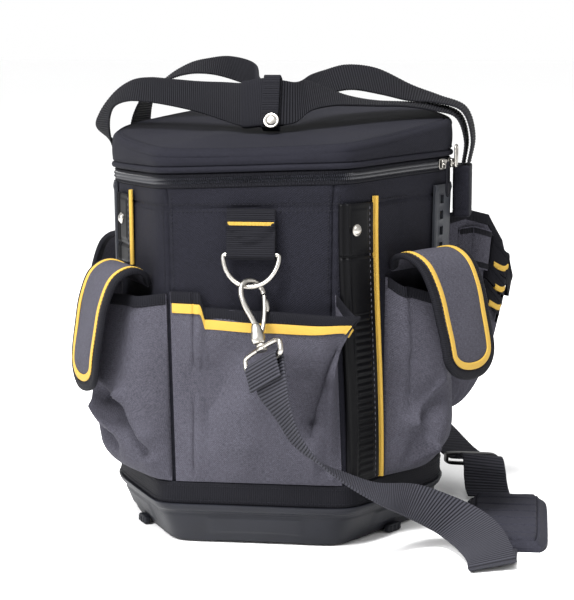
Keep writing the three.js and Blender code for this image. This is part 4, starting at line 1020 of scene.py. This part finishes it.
def cloth_path(spec, across, drop, lift):
    """Points, normals and ways up on a pocket's cloth, a drop below its mouth."""
    top, low = pocket_point(spec, across, 1.0), pocket_point(spec, across, 0.9)
    tall = np.linalg.norm(top - low, axis=-1) / 0.1
    up = 1 - drop / tall
    normal = cloth_normal(spec, across, up)
    point = pocket_point(spec, across, up)
    return point + normal * lift, normal, unit(point - pocket_point(spec, across, up - 0.05))


def band(name, path, facing, rise, width, thick, material, power=4.0):
    """A band of tape along a path on cloth that faces that way, its width up the cloth's rise."""
    side = unit(rise - facing * (rise * facing).sum(-1, keepdims=True))
    add(name, sweep(path, side, facing, rounded(width, thick, power)), material)


def make_pockets():
    for name, spec in POCKETS.items():
        columns, rows = spec["grid"]
        across = np.linspace(0, 1, columns)
        if name == "tool_pocket":
            across = across**1.8
        across, up = np.meshgrid(across, np.linspace(0, 1, rows) ** 1.2)
        inner = pocket_point(spec, across, up)
        free = sewn_down(across, up, 10, 6)
        puff = 0.35 * free * ripple(inner, 26, 40 + len(name)) + 0.8 * free * ripple(inner, 70, 50)
        outer = inner + cloth_normal(spec, across, up) * (CLOTH + puff)[..., None]
        add(f"{name}_cloth", thick_sheet(outer, inner), GREY, name)

        shares = np.linspace(0.004, 0.996, 320)
        edge = cloth_path(spec, shares, 4.0, CLOTH / 2)
        band(f"{name}_binding", *edge, 9.2, CLOTH + 1.7, BINDING, 5.0)
        line, facing, _ = cloth_path(spec, shares, 7.2, CLOTH + 0.75)
        sew("black", line, facing)
        if name == "front_pocket":
            edge = cloth_path(spec, np.linspace(0.012, 0.945, 320), 12.6, CLOTH + 0.5)
            band(f"{name}_ribbon", *edge, 7.6, 1.2, YELLOW, 6.0)


LOOP_THICK = 1.5
LOOP_BAR = 0.38
# name, share across the tool pocket from and to, share up it from and to, belly, start of the bar, material
TOOL_SLOTS = (
    ("tool_slot_1", 0.02, 0.06, 0.72, 0.92, 7, 0.0, GREY),
    ("tool_slot_2", 0.07, 0.132, 0.79, 0.93, 8, 0.06, BINDING),
    ("tool_slot_3", 0.065, 0.118, 0.69, 0.775, 8, 0.22, BINDING),
    ("tool_slot_4", 0.055, 0.115, 0.575, 0.665, 8, 0.24, BINDING),
)


def make_tool_slots():
    spec = POCKETS["tool_pocket"]
    for name, left, right, low, high, belly, bar, material in TOOL_SLOTS:
        def loop_face(share, rise):
            """The inner face of a loop and the way it faces."""
            across, up = mix(left, right, share), mix(low, high, rise)
            swell = belly * np.sin(math.pi * share) ** 0.6
            normal = cloth_normal(spec, across, up)
            return pocket_point(spec, across, up) + normal * (CLOTH + 2 * GAP + swell)[..., None], normal

        inner, normal = loop_face(*np.meshgrid(np.linspace(0, 1, 41), np.linspace(0, 1, 25)))
        add(f"{name}_loop", thick_sheet(inner + normal * LOOP_THICK, inner), material, name)
        low_bar = ((0, 1), (0.1, 0.1), BINDING)
        if material is BINDING:
            low_bar = ((bar, bar + LOOP_BAR), (0.06, 0.52), YELLOW)
        for label, (shares, rises, tape) in (("top", ((0, 1), (0.9, 0.9), BINDING)), ("low", low_bar)):
            share, rise = np.linspace(*shares, 41), np.linspace(*rises, 41)
            path, facing = loop_face(share, rise)
            way = unit(loop_face(share, rise + 0.05)[0] - path)
            path = path + facing * LOOP_THICK / 2
            band(f"{name}_{label}", path, facing, way, 5.0, LOOP_THICK + 1.1, tape)


# Flaps: out, height and half-width along the flap

FLAP_THICK = 3.0
FLAP_PATH = np.array([
    (1.9, 219, 29), (8, 229, 35), (20, 232, 39), (34, 225, 39),
    (45, 206, 38), (52, 182, 37), (58, 157, 36), (60, 134, 35),
], float)
# name, azimuth, how far the tip draws in as a share of its stand-off, and how far the flap drops
FLAPS = (
    ("flap_right", 61.0, 0.0, 0.0),
    ("flap_left", -46.0, 0.2, 12.0),
    ("flap_rear_left", 241.0, 0.0, 0.0),
)
FLAP_TIP = 0.83
FLAP_ROUND = 2.2
# name, inset from the edge, lift, width, thickness, material
FLAP_TAPES = (
    ("binding", 3.4, 0.0, 8.0, FLAP_THICK + 1.8, BINDING),
    ("ribbon", 10.2, FLAP_THICK / 2 + 0.4, 5.6, 1.4, YELLOW),
)


class Flap:
    """A flap's surface, by millimetres across and share of its length along."""

    def __init__(self, azimuth, tuck, drop):
        self.azimuth = azimuth
        rows = FLAP_PATH.copy()
        rows[:, 0] *= 1 - tuck * np.linspace(0, 1, len(rows))
        rows[:, 1] -= drop
        self.curve = spline(rows, 400)
        self.run = arc_length(self.curve[:, :2])
        self.length = self.run[-1]
        slope = unit(np.gradient(self.curve[:, :2], axis=0))
        width = 25
        kernel = np.ones(width) / width
        padded = np.pad(slope, ((width // 2, width // 2), (0, 0)), mode="edge")
        self.slope = unit(np.stack([np.convolve(column, kernel, "valid") for column in padded.T], 1))

    def at(self, share, values):
        return np.interp(share * self.length, self.run, values)

    def half(self, share, inset=0.0):
        end = 1 - inset / self.length
        tip = np.clip((share - FLAP_TIP) / (end - FLAP_TIP), 0, 1)
        narrowing = np.maximum(0, 1 - tip**FLAP_ROUND) ** (1 / FLAP_ROUND)
        return (self.at(share, self.curve[:, 2]) - inset) * narrowing

    def point(self, across, share, lift):
        out, z, full = (self.at(share, column) for column in self.curve.T)
        slope_out, slope_z = (self.at(share, column) for column in self.slope.T)
        rise = lift + 2.5 * (1 - np.clip(across / full, -1, 1) ** 2) * smooth(share, 0, 0.3)
        point = wall_point(self.azimuth, z, out - slope_z * rise)
        point[..., 2] += slope_out * rise
        return point + sideways(wall_normal(self.azimuth, z)) * across[..., None]

    def outline(self, inset, lift):
        """The flap's edge, or a line inside it, down one side, round the tip and up the other."""
        end = 1 - inset / self.length
        share = end - (end - 0.02) * np.linspace(0, 1, 120) ** 1.6
        share = np.concatenate([share[::-1], share[1:]])
        across = np.repeat([-1, 1], [120, 119]) * self.half(np.clip(share, 0, 1), inset)
        path = self.point(across, share, lift)
        return path, unit(self.point(across, share, lift + 1) - path)


def make_flaps():
    for name, azimuth, tuck, drop in FLAPS:
        flap = Flap(azimuth, tuck, drop)
        side, along = np.meshgrid(np.linspace(-1, 1, 45), 1 - np.linspace(1, 0, 90) ** 1.5)
        across = side * np.maximum(flap.half(along), 0.4)
        puff = 0.4 * ripple(flap.point(across, along, 0.0), 45, 9)
        outer = flap.point(across, along, FLAP_THICK / 2 + puff)
        inner = flap.point(across, along, -FLAP_THICK / 2)
        add(f"{name}_cloth", thick_sheet(outer, inner), GREY, name)
        for label, inset, lift, width, thick, material in FLAP_TAPES:
            path, facing = flap.outline(inset, lift)
            run = arc_length(path)
            at = np.linspace(0, run[-1], int(run[-1] / 1.4))
            tape = lay(resample(at, run, path), unit(resample(at, run, facing)), rounded(width, thick))
            add(f"{name}_{label}", tape, material)
        sew("black", *flap.outline(6.6, FLAP_THICK / 2 + 0.7))


# Webbing: strips between two edges with ribs across them

WEBBING_SECTION = np.array([
    # across from the middle, and thickness there
    (-1, 0.35), (-0.985, 0.8), (-0.94, 1), (-0.8, 1), (-0.5, 1), (-0.2, 1),
    (0.2, 1), (0.5, 1), (0.8, 1), (0.94, 1), (0.985, 0.8), (1, 0.35),
])


def webbing(left, right, thick, pitch, rib, relief=None):
    """A ribbed strip between the points of its left and right edges."""
    run = arc_length((left + right) / 2)
    at = np.arange(0, run[-1], pitch / 4)
    left, right = resample(at, run, left), resample(at, run, right)
    middle, side = (left + right) / 2, right - left
    normal = unit(np.cross(side, np.gradient(middle, axis=0)))
    height = thick / 2 - rib / 2 + rib * np.abs(np.sin(math.pi * at / pitch))
    faces = []
    for sign, section in ((1, WEBBING_SECTION), (-1, WEBBING_SECTION[::-1])):
        across, edge = section.T
        lift = sign * height[:, None] * edge
        if relief is not None:
            lift = lift + relief(at[:, None], across[None, :])
        flat = middle[:, None] + side[:, None] * (across[None, :, None] / 2)
        faces.append(flat + normal[:, None] * lift[..., None])
    across = np.concatenate([WEBBING_SECTION[:, 0], WEBBING_SECTION[::-1, 0]])
    wide = np.linalg.norm(side, axis=1).mean() / 2
    lengths = np.stack(np.broadcast_arrays(at[:, None], across[None, :] * wide), -1)
    return capped(np.concatenate(faces, 1), lengths)


def strip_edges(rows, count):
    rows = np.array(rows, float)
    return spline(rows[:, 0], count), spline(rows[:, 1], count)


# Rings, tabs and hooks

# Wire radius, half-width, drop, lean, the bar's place and the bow's share of the path
RING = dict(wire=1.85, half=22.0, drop=25.0, lean=math.radians(14), bar_z=236.0, bar_out=6.6, bow=0.7)
TAB_HALF = 19.2
TAB_BEND = 3.3
TAB_BACK = ((2.9, 271.5), (2.9, 262), (2.9, 250), (2.95, 242))
TAB_FRONT = ((9.2, 240), (8.2, 246), (6.8, 256), (5.6, 265), (5.0, 271.5))


def ring_path(count=120):
    """A ring's bow and straight bar, with its corners eased."""
    share = np.linspace(0, 1, count, endpoint=False)
    bow, half = RING["bow"], RING["half"]
    angle = math.pi * np.clip(share / bow, 0, 1)
    x = np.where(share < bow, half * np.cos(angle), mix(-half, half, (share - bow) / (1 - bow)))
    z = np.where(share < bow, -RING["drop"] * np.sin(angle), 0.0)
    corner = np.stack([x, np.zeros(count), z], 1)
    kernel = np.array([1, 2, 3, 2, 1]) / 9
    wrapped = np.concatenate([corner[-2:], corner, corner[:2]])
    return np.stack([np.convolve(column, kernel, "valid") for column in wrapped.T], 1)


def make_rings():
    cosine, sine = math.cos(RING["lean"]), math.sin(RING["lean"])
    x, y, z = ring_path().T
    leaning = np.stack([x, y * cosine + z * sine, z * cosine - y * sine], 1)
    bends = np.radians((0, 30, 60, 90, 120, 150, 175))
    bar_out, bar_z = RING["bar_out"], RING["bar_z"]
    round_bar = [(bar_out - TAB_BEND * math.cos(a), bar_z - TAB_BEND * math.sin(a)) for a in bends]
    tab = spline([(out, z, 0) for out, z in (*TAB_BACK, *round_bar, *TAB_FRONT)], 400)
    total = arc_length(tab)[-1]

    def crumple(at, across):
        """Creases across a tab's front, as it hangs from its stitching."""
        depth = total - at
        fold = 27 - 15 * (1 - np.abs(across + 0.05))
        front = smooth(at, total - 42, total - 36)
        return front * (1.5 * ridge(depth, 39 - fold, 2.2) - 0.9 * ridge(depth, 43 - fold, 3))

    for name, azimuth, flip in (("front", 0.0, 1), ("rear", 180.0, -1)):
        spin = np.array([flip, flip, 1])
        path = wall_point(azimuth, bar_z, bar_out) + leaning * spin
        ring = wire_loop(path, RING["wire"], np.array([0, cosine, -sine]) * spin, 18)
        add(f"d_ring_{name}", ring, NICKEL, f"ring_{name}")
        centre = wall_point(azimuth, tab[:, 1], tab[:, 0])
        half = np.array([TAB_HALF * flip, 0, 0])
        body = webbing(centre - half, centre + half, 1.7, 2.3, 0.35, crumple)
        add(f"ring_webbing_{name}", body, BINDING, f"ring_tab_{name}")
        across = np.outer(np.linspace(-18, 18, 40), [flip, 0, 0])
        for row in range(3):
            line = wall_point(azimuth, 259.4 + row * 0.9, 7.5 - 0.09 * row) + across
            sew("yellow", line, wall_normal(azimuth, 260.0), pitch=1.1, length=1.5, width=1.0, height=0.6)


HOOK_TOP = np.array([-0.6, -149.6, 218.0])
HOOK_AXIS = unit(np.array([-0.225, 0.423, 0.88]))
HOOK_ACROSS = np.array([0.74, 0.67, -0.09])
HOOK_ACROSS = unit(HOOK_ACROSS - HOOK_AXIS * (HOOK_ACROSS @ HOOK_AXIS))
HOOK_THROUGH = np.cross(HOOK_AXIS, HOOK_ACROSS)
HOOK_AXES = np.stack([HOOK_ACROSS, HOOK_THROUGH, HOOK_AXIS])
EYE_TURN = math.radians(-87)
EYE_ACROSS = HOOK_ACROSS * math.cos(EYE_TURN) + HOOK_THROUGH * math.sin(EYE_TURN)
EYE_THROUGH = np.cross(HOOK_AXIS, EYE_ACROSS)
EYE_AXES = np.stack([EYE_ACROSS, EYE_THROUGH, HOOK_AXIS])
HOOK_WIRE = 1.9
HOOK_BEND = 10.5
EYE_WIDE, EYE_TALL, EYE_Z = 46.4, 12.5, -63.75
# radius and height rows, from the hook's top
CASTING = (
    (0, -54), (4.4, -54), (5.2, -53.4), (5.9, -51), (6, -49.5), (5.6, -47),
    (4.9, -43), (4.3, -40), (3.2, -37.6), (2.2, -37), (0, -37),
)
COLLAR = ((0, -56.8), (3.3, -56.8), (3.9, -56.2), (3.9, -55), (3.3, -54.4), (0, -54.4))
BOSS = ((0, -60), (4.2, -60), (4.6, -59), (4.0, -57.6), (2.8, -57), (0, -57))
CASTING_SHIFT = -1.5
CASTING_FLAT = 0.72
# The cut in the casting where the gate swings: how far across it starts, and half its width
GATE_SLOT = -0.4
GATE_SLOT_HALF = 2.3


def hook_space(points):
    return HOOK_TOP + np.asarray(points, float) @ HOOK_AXES


def eye_space(points):
    return HOOK_TOP + np.asarray(points, float) @ EYE_AXES


def make_hook():
    middle = -HOOK_WIRE - HOOK_BEND
    run = [(-1.5, 0, -46), (-2.2, 0, -40), (-4, 0, -34), (1.5 - HOOK_BEND, 0, middle - 10)]
    angles = np.linspace(math.pi, 0, 9)
    run += [(HOOK_BEND * math.cos(a), 0, middle + HOOK_BEND * math.sin(a)) for a in angles]
    bow = wire(spline(hook_space(run), 140), HOOK_WIRE + 0.15, HOOK_THROUGH, 16)
    points, faces, lengths = lathe(CASTING, HOOK_TOP + HOOK_ACROSS * CASTING_SHIFT, HOOK_AXIS, 40)
    local = (points - HOOK_TOP) @ HOOK_AXES.T
    local[:, 1] *= CASTING_FLAT
    slot = smooth(local[:, 0], GATE_SLOT, GATE_SLOT + 0.6) * smooth(local[:, 2], -50, -48)
    slot = slot * (np.abs(local[:, 1]) < GATE_SLOT_HALF)
    local[:, 0] = mix(local[:, 0], np.minimum(local[:, 0], GATE_SLOT), slot)
    hook = joined(bow, (hook_space(local), faces, lengths), lathe(COLLAR, HOOK_TOP, HOOK_AXIS))
    add("snap_hook", hook, NICKEL, "hook_front")

    run = hook_space([(2.4, 0, -45), (5.2, 0, -38), (7.4, 0, -31), (9.4, 0, -22), (HOOK_BEND, 0, -14.2)])
    bar = wire(spline(run, 80), 1.75, HOOK_THROUGH)
    thumb = block((4.4, 3.6, 11), hook_space((11.4, 0, -21.6)), HOOK_AXES, 2.5, 14)
    add("hook_gate", joined(bar, thumb), NICKEL, "gate_front", rides="gate")

    x, z = rounded(EYE_WIDE, EYE_TALL, 5.0, 120).T
    eye = wire_loop(eye_space(np.stack([x, 0 * x, EYE_Z + z], 1)), 1.95, EYE_THROUGH, 18)
    add("swivel_eye", joined(eye, lathe(BOSS, HOOK_TOP, HOOK_AXIS)), NICKEL, "swivel_eye_front")


REAR_TOP = np.array([0, 150.6, 218.3])
REAR_LEAN = math.radians(20)
REAR_TURN = math.radians(52)
REAR_BAR_Z = -55.0


def rear_space(points):
    """A turn about the upright, then a lean back."""
    x, y, z = np.asarray(points, float).T
    cosine, sine = math.cos(REAR_TURN), math.sin(REAR_TURN)
    x, y = x * cosine - y * sine, x * sine + y * cosine
    cosine, sine = math.cos(REAR_LEAN), math.sin(REAR_LEAN)
    y, z = y * cosine - z * sine, y * sine + z * cosine
    return np.stack([x, y, z], -1)


def make_rear_hook():
    x, z = rounded(18.0, 52.2, 2.0, 100).T
    link = wire_loop(REAR_TOP + rear_space(np.stack([x, 0 * x, z - 28], 1)), 1.9, rear_space((0, 1, 0)), 16)
    end = np.array([math.cos(REAR_TURN), -math.sin(REAR_TURN), 0]) * EYE_WIDE / 2
    ends = rear_space([-end + UP * REAR_BAR_Z, end + UP * REAR_BAR_Z])
    along = unit(ends[1] - ends[0])
    up = rear_space(UP)
    bar = block((EYE_WIDE, 3.2, 5), REAR_TOP + ends.mean(0), (along, np.cross(up, along), up), 5)
    add("rear_link", joined(link, bar), NICKEL, "hook_rear")


# Shoulder strap, pad and keeper

EYE_BOTTOM = -70.0
STRAP_THICK = 1.8
STRAP_PITCH = 2.6
# Through and along the swivel eye, from its lower bar
STRAP_LOOP = ((-2.1, -17), (-3.1, -6), (-3.5, 0.8), (0, 4.6), (3.5, 0.8), (3.1, -6))
# Left and right edges, row by row
STRAP_FRONT = (
    ((10, -174, 131), (35, -200, 147)),
    ((24, -173, 112), (39, -207, 128)),
    ((36.5, -172, 93), (47, -208, 107)),
    ((56, -168, 78), (61, -206, 86.5)),
    ((71, -156, 69.5), (78, -196, 70)),
    ((95, -141, 58), (104, -179, 50)),
    ((129, -102, 48), (121, -136, 30)),
    ((170, -96, 32), (144, -118, 13)),
    ((193, -126, 24), (160, -138, 7)),
    ((206, -164, 13), (171, -178, 6.5)),
    ((208, -172, 9), (172, -186.5, 4)),
    ((207.5, -165, 5.5), (173, -181, 1.5)),
    ((208, -150, 2), (171, -166, 1.1)),
    ((207.5, -136, 1.1), (169, -140, 1.1)),
    ((207.5, -118.8, 2.4), (169, -118.8, 2.4)),
)
STRAP_REAR = (
    ((160, 51.4, 4), (198, 51.4, 4)),
    ((157.5, 55.4, 9), (195.5, 55.4, 9)),
    ((156, 56.5, 20), (193.5, 56.5, 18)),
    ((155.5, 55.5, 32), (192, 55.5, 29)),
    ((154, 60, 39), (190, 62, 35.5)),
    ((150, 70, 37), (186, 77, 33.5)),
    ((143, 83, 31), (178, 96, 28)),
    ((131, 100, 34), (162, 122, 32)),
    ((110, 130, 56), (133, 160, 50)),
    ((82, 156, 78), (94, 190, 66)),
    ((58, 170, 100), (48, 198, 78)),
    ((38, 176, 124), (8, 190, 106)),
    ((24, 174.5, 148), (-14, 178, 142)),
    ((20, 172.9, 169), (-20, 172.9, 169)),
)


def make_straps():
    sewn = [eye_space([(-20, y, EYE_BOTTOM + z), (20, y, EYE_BOTTOM + z)]) for y, z in STRAP_LOOP]
    for name, rows, count, rib in (
        ("strap_front", [*sewn, *STRAP_FRONT], 2000, 0.6),
        ("strap_rear", STRAP_REAR, 1500, 0.3),
    ):
        body = webbing(*strip_edges(rows, count), STRAP_THICK, STRAP_PITCH, rib)
        add(f"{name}_webbing", body, STRAP, name)
    x = np.linspace(-18, 18, 30)
    for drop in (9, 14):
        y = mix(-3.1, -2.1, (drop - 6) / 11) - 1.0
        line = np.stack(np.broadcast_arrays(x, y, EYE_BOTTOM - drop), 1)
        sew("black", eye_space(line), -EYE_THROUGH)


PAD = dict(middle=(195.5, -34.0), length=168.0, width=69.0, thick=10.0, turn=math.radians(1), floor=0.2)
QUILT_LINES = np.linspace(-0.7, 0.7, 6)
QUILT_DEPTH = 2.2


def make_pad():
    end, side = np.meshgrid(np.linspace(-1, 1, 141), np.linspace(-1, 1, 75), indexing="ij")
    half = PAD["width"] / 2 * (1 - 0.18 * np.abs(end) ** 8)
    border = np.minimum(smooth(1 - np.abs(side), 0, 0.3), smooth(1 - np.abs(end), 0, 0.14))
    x, y = side * half, end * PAD["length"] / 2
    inset = np.maximum(np.abs(side) - 0.76, (np.abs(end) - 0.9) * 2.4)
    quilt = ridge(inset, 0, 0.022)
    for line in QUILT_LINES:
        quilt = quilt + ridge(end, line, 0.016) * smooth(-inset, 0, 0.03)
    cosine, sine = math.cos(PAD["turn"]), math.sin(PAD["turn"])
    inner = np.stack([
        PAD["middle"][0] + x * cosine - y * sine,
        PAD["middle"][1] + x * sine + y * cosine,
        np.full_like(x, PAD["floor"]),
    ], -1)
    top = PAD["thick"] * (0.36 + 0.64 * border) - QUILT_DEPTH * quilt
    top = top + 0.35 * ripple(inner * (1, 1, 0), 24, 77) * border
    outer = inner + np.maximum(top, 1.2)[..., None] * UP
    pad = add("pad_cover", thick_sheet(outer, inner), PADDING, "shoulder_pad")


KEEPER_MIDDLE = np.array([160.5, 89.5, 29.3])
KEEPER_TILT = math.radians(4.6)
KEEPER_TURN = math.radians(20.4)


def make_keeper():
    level = np.array([math.cos(KEEPER_TURN), math.sin(KEEPER_TURN), 0])
    along = level * math.cos(KEEPER_TILT) - UP * math.sin(KEEPER_TILT)
    depth = sideways(level)
    outline = rounded(46.4, 9.2, 6.0, 120)
    path = KEEPER_MIDDLE + outline @ np.stack([along, np.cross(along, depth)])
    add("keeper", loop(path, depth, rounded(2.4, 9, 4.5, 20)), BLACK_PLASTIC, "strap_adjuster")


# Handles: middle of the webbing and the way its width points

HANDLE_NEAR = (
    ((-126.8, 58.9, 283.5), (0.48, 0.87, 0)), ((-137, 50, 294), (0.3, 0.95, 0.1)),
    ((-150, 34, 311), (-0.2, 0.97, 0.1)), ((-156, 20, 326), (-0.5, 0.86, 0)),
    ((-152, 12, 338), (-0.45, 0.89, 0)), ((-141, 4, 351), (-0.2, 0.94, 0.28)),
    ((-126, -4, 358), (-0.1, 0.9, 0.43)), ((-108, -13, 359), (-0.15, 0.84, 0.51)),
    ((-85, -26, 357), (-0.18, 0.8, 0.56)), ((-59, -42, 354), (-0.15, 0.74, 0.65)),
    ((-36, -57, 351), (-0.1, 0.58, 0.8)), ((-17, -71, 349), (-0.05, 0.42, 0.9)),
    ((-4, -76.2, 350.8), (0, 0.35, 0.94)), ((12, -76.2, 350.8), (0, 0.35, 0.94)),
    ((24, -72, 351), (-0.08, 0.55, 0.82)), ((33, -60, 356), (-0.2, 0.75, 0.62)),
    ((49, -42, 354), (-0.17, 0.93, 0.32)), ((63, -28, 351), (-0.12, 0.98, 0.16)),
    ((83, -12, 348.5), (-0.1, 0.99, 0.07)), ((106, 0, 347.5), (-0.02, 1, 0.05)),
    ((130, 9, 345), (0, 0.98, 0.1)), ((149.5, 15, 338), (0.04, 0.99, 0.04)),
    ((156.5, 18, 318), (0.02, 1, 0)), ((154.4, 18, 297.6), (0, 1, 0)),
)
HANDLE_FAR = (
    ((-123.5, 57.2, 283.5), (0.48, 0.87, 0)), ((-131, 62, 305), (0.35, 0.93, 0)),
    ((-131, 62, 334), (0.2, 0.98, 0)), ((-121, 59, 356), (0, 0.99, 0)),
    ((-104, 54, 368), (-0.2, 0.97, 0.05)), ((-84, 46, 376), (-0.15, 0.96, 0.22)),
    ((-65, 37, 378), (-0.2, 0.92, 0.33)), ((-43, 21, 376.5), (-0.25, 0.82, 0.52)),
    ((-19, -9, 370), (-0.15, 0.78, 0.6)), ((-10, -44, 356), (-0.1, 0.6, 0.79)),
    ((-3, -70.2, 349.7), (0, 0.35, 0.94)), ((12, -70.8, 349.7), (0, 0.35, 0.94)),
    ((24, -52, 352), (-0.12, 0.62, 0.77)), ((32, -24, 361), (-0.2, 0.8, 0.56)),
    ((42, -4, 366), (-0.27, 0.84, 0.47)), ((58, 8, 369.5), (-0.24, 0.82, 0.52)),
    ((82, 20, 366), (-0.22, 0.8, 0.56)), ((109, 26, 356), (0, 0.95, 0.3)),
    ((132, 25, 351), (0, 1, 0.12)), ((154, 22, 343), (0.04, 1, 0.04)),
    ((162, 19, 320), (0.02, 1, 0)), ((158.8, 18, 297.6), (0, 1, 0)),
)
HANDLE_WIDTH = 38.0
HANDLE_THICK = 1.8
HANDLE_PITCH = 2.3
WRAP_MIDDLE = np.array([5.4, -73.4, 350.4])
WRAP_TILT = math.radians(-20.5)
WRAP_UP = np.array([0, -math.sin(WRAP_TILT), math.cos(WRAP_TILT)])
WRAP_DEEP = np.array([0, math.cos(WRAP_TILT), math.sin(WRAP_TILT)])
WRAP_HALF = np.array([6.8, 0, 0])
SNAP = (
    (0, 0), (6, 0), (6.2, 0.6), (5.9, 1.3), (5.2, 1.5),
    (4.7, 1.3), (4.3, 1.5), (3.6, 2.4), (2.4, 2.9), (0, 3.1),
)
# name, middle in plan, thickness, depth, foot, head, degrees turned
SLEEVES = (
    ("right", (153.6, 18.0), 15.0, 42.0, 254.0, 297.0, 0.0),
    ("left", (-123.8, 57.0), 7.0, 42.0, 244.0, 283.0, 29.0),
)


def make_handles():
    for name, table in (("handle_near", HANDLE_NEAR), ("handle_far", HANDLE_FAR)):
        rows = np.array(table)
        half = unit(rows[:, 1]) * HANDLE_WIDTH / 2
        edges = strip_edges(np.stack([rows[:, 0] - half, rows[:, 0] + half], 1), 2000)
        add(f"{name}_webbing", webbing(*edges, HANDLE_THICK, HANDLE_PITCH, 0.5), HANDLE, name)


def make_wrap():
    outline = rounded(13.8, 42.6, 7.0, 239)
    path = WRAP_MIDDLE + np.vstack([outline, outline[:1]]) @ np.stack([WRAP_DEEP, WRAP_UP])
    body = webbing(path - WRAP_HALF, path + WRAP_HALF, 2.0, HANDLE_PITCH, 0.3)
    add("wrap_webbing", body, BINDING, "handle_wrap")
    rows = np.array(HANDLE_NEAR)
    at = np.linspace(10.9, 12.25, 40) / (len(rows) - 1)
    path, side = spline(rows[:, 0], at=at), unit(spline(rows[:, 1], at=at))
    normal = unit(np.cross(np.gradient(path, axis=0), side))
    cover = sweep(path, side, normal, rounded(HANDLE_WIDTH + 2.6, 5.0, 7.0, 40))
    add("wrap_cover", cover, BINDING, slot="black_cloth")
    seat = WRAP_MIDDLE + np.array([1.5, 0, 0]) - WRAP_DEEP * 8.1 - WRAP_UP * 17.5
    add("snap_button", lathe(SNAP, seat, -WRAP_DEEP), NICKEL, "handle_snap", crease=40)


def make_sleeves():
    heights = np.concatenate([[0, 0.01, 0.03], np.linspace(0.06, 0.94, 40), [0.97, 0.99, 1]])
    for name, middle, thick, deep, low, high, turn in SLEEVES:
        spin = math.radians(-turn)
        across = np.array([math.cos(spin), math.sin(spin), 0])
        outline = rounded(thick, deep, 7.0, 64) @ np.stack([across, sideways(across)])
        rows = []
        for share in heights:
            pull = 1 - 0.1 * (1 - min(1, min(share, 1 - share) / 0.03)) ** 2
            seam = 0.03 * (ridge(share, 0.14, 0.012) + ridge(share, 0.86, 0.012))
            rows.append(outline * (pull - seam) + np.array([*middle, mix(low, high, share)]))
        add(f"sleeve_{name}", ring_solid(rows), BLACK, f"handle_sleeve_{name}", crease=60)


def make_stitching():
    for colour, material in (("black", THREAD), ("grey", GREY_THREAD), ("yellow", YELLOW)):
        add(f"stitching_{colour}", joined(*SEAMS[colour]), material, crease=80)


# Floor, lights and camera, in metres

FLOOR_REACH = 30.0
FLOOR_WHITE = 0.99
CAMERA_PLACE = (0.2405, -1.633, 0.4045)
CAMERA_YAW = 0.142
CAMERA_TILT = 0.1345
LIGHTS = (
    # name, place, aim, size across and up, power in watts
    ("key", (-1.5, -2.2, 1.9), (0, -0.05, 0.2), 1.0, 1.0, 110.0),
    ("fill", (2.0, -1.3, 1.1), (0, 0, 0.2), 1.2, 1.6, 5.0),
    ("top", (-0.3, -1.1, 2.3), (0, 0, 0.15), 0.8, 0.8, 140.0),
)


def stage_object(name, data, place=(0, 0, 0), look=None):
    """Links an object, which looks along a way if one is given."""
    obj = bpy.data.objects.new(name, data)
    obj.location = place
    if look is not None:
        obj.rotation_euler = look.to_track_quat("-Z", "Y").to_euler()
    bpy.context.scene.collection.objects.link(obj)
    return obj


def make_stage():
    floor = bpy.data.meshes.new("floor")
    corners = [(x * FLOOR_REACH, y * FLOOR_REACH, 0) for x, y in ((-1, -1), (1, -1), (1, 1), (-1, 1))]
    floor.from_pydata(corners, [], [(0, 1, 2, 3)])
    shade = Shade("pale_floor", 0.8, specular=0.1)
    shade.shader.inputs["Base Color"].default_value = (FLOOR_WHITE, FLOOR_WHITE, FLOOR_WHITE, 1)
    floor.materials.append(shade.material)
    stage_object("floor", floor)

    world = bpy.data.worlds.new("studio")
    bpy.context.scene.world = world
    world.use_nodes = True
    background = world.node_tree.nodes["Background"]
    background.inputs["Color"].default_value = (1, 1, 1, 1)
    background.inputs["Strength"].default_value = 1.0

    for name, place, aim, wide, tall, power in LIGHTS:
        light = bpy.data.lights.new(name, "AREA")
        light.shape = "RECTANGLE"
        light.size = wide
        light.size_y = tall
        light.energy = power
        stage_object(name, light, place, Vector(aim) - Vector(place))

    camera = bpy.data.cameras.new("camera")
    camera.lens = 117.5
    camera.sensor_width = 36.0
    camera.clip_end = 100.0
    level = math.cos(CAMERA_TILT)
    forward = (-math.sin(CAMERA_YAW) * level, math.cos(CAMERA_YAW) * level, -math.sin(CAMERA_TILT))
    bpy.context.scene.camera = stage_object("camera", camera, CAMERA_PLACE, Vector(forward))
    bpy.context.scene.view_settings.view_transform = "Standard"


make_tray()
make_feet()
make_body()
make_band()
make_zip()
make_lid()
make_sliders()
make_strips()
make_plates()
make_pockets()
make_tool_slots()
make_flaps()
make_rings()
make_hook()
make_rear_hook()
make_straps()
make_pad()
make_keeper()
make_handles()
make_wrap()
make_sleeves()
make_stitching()
make_stage()
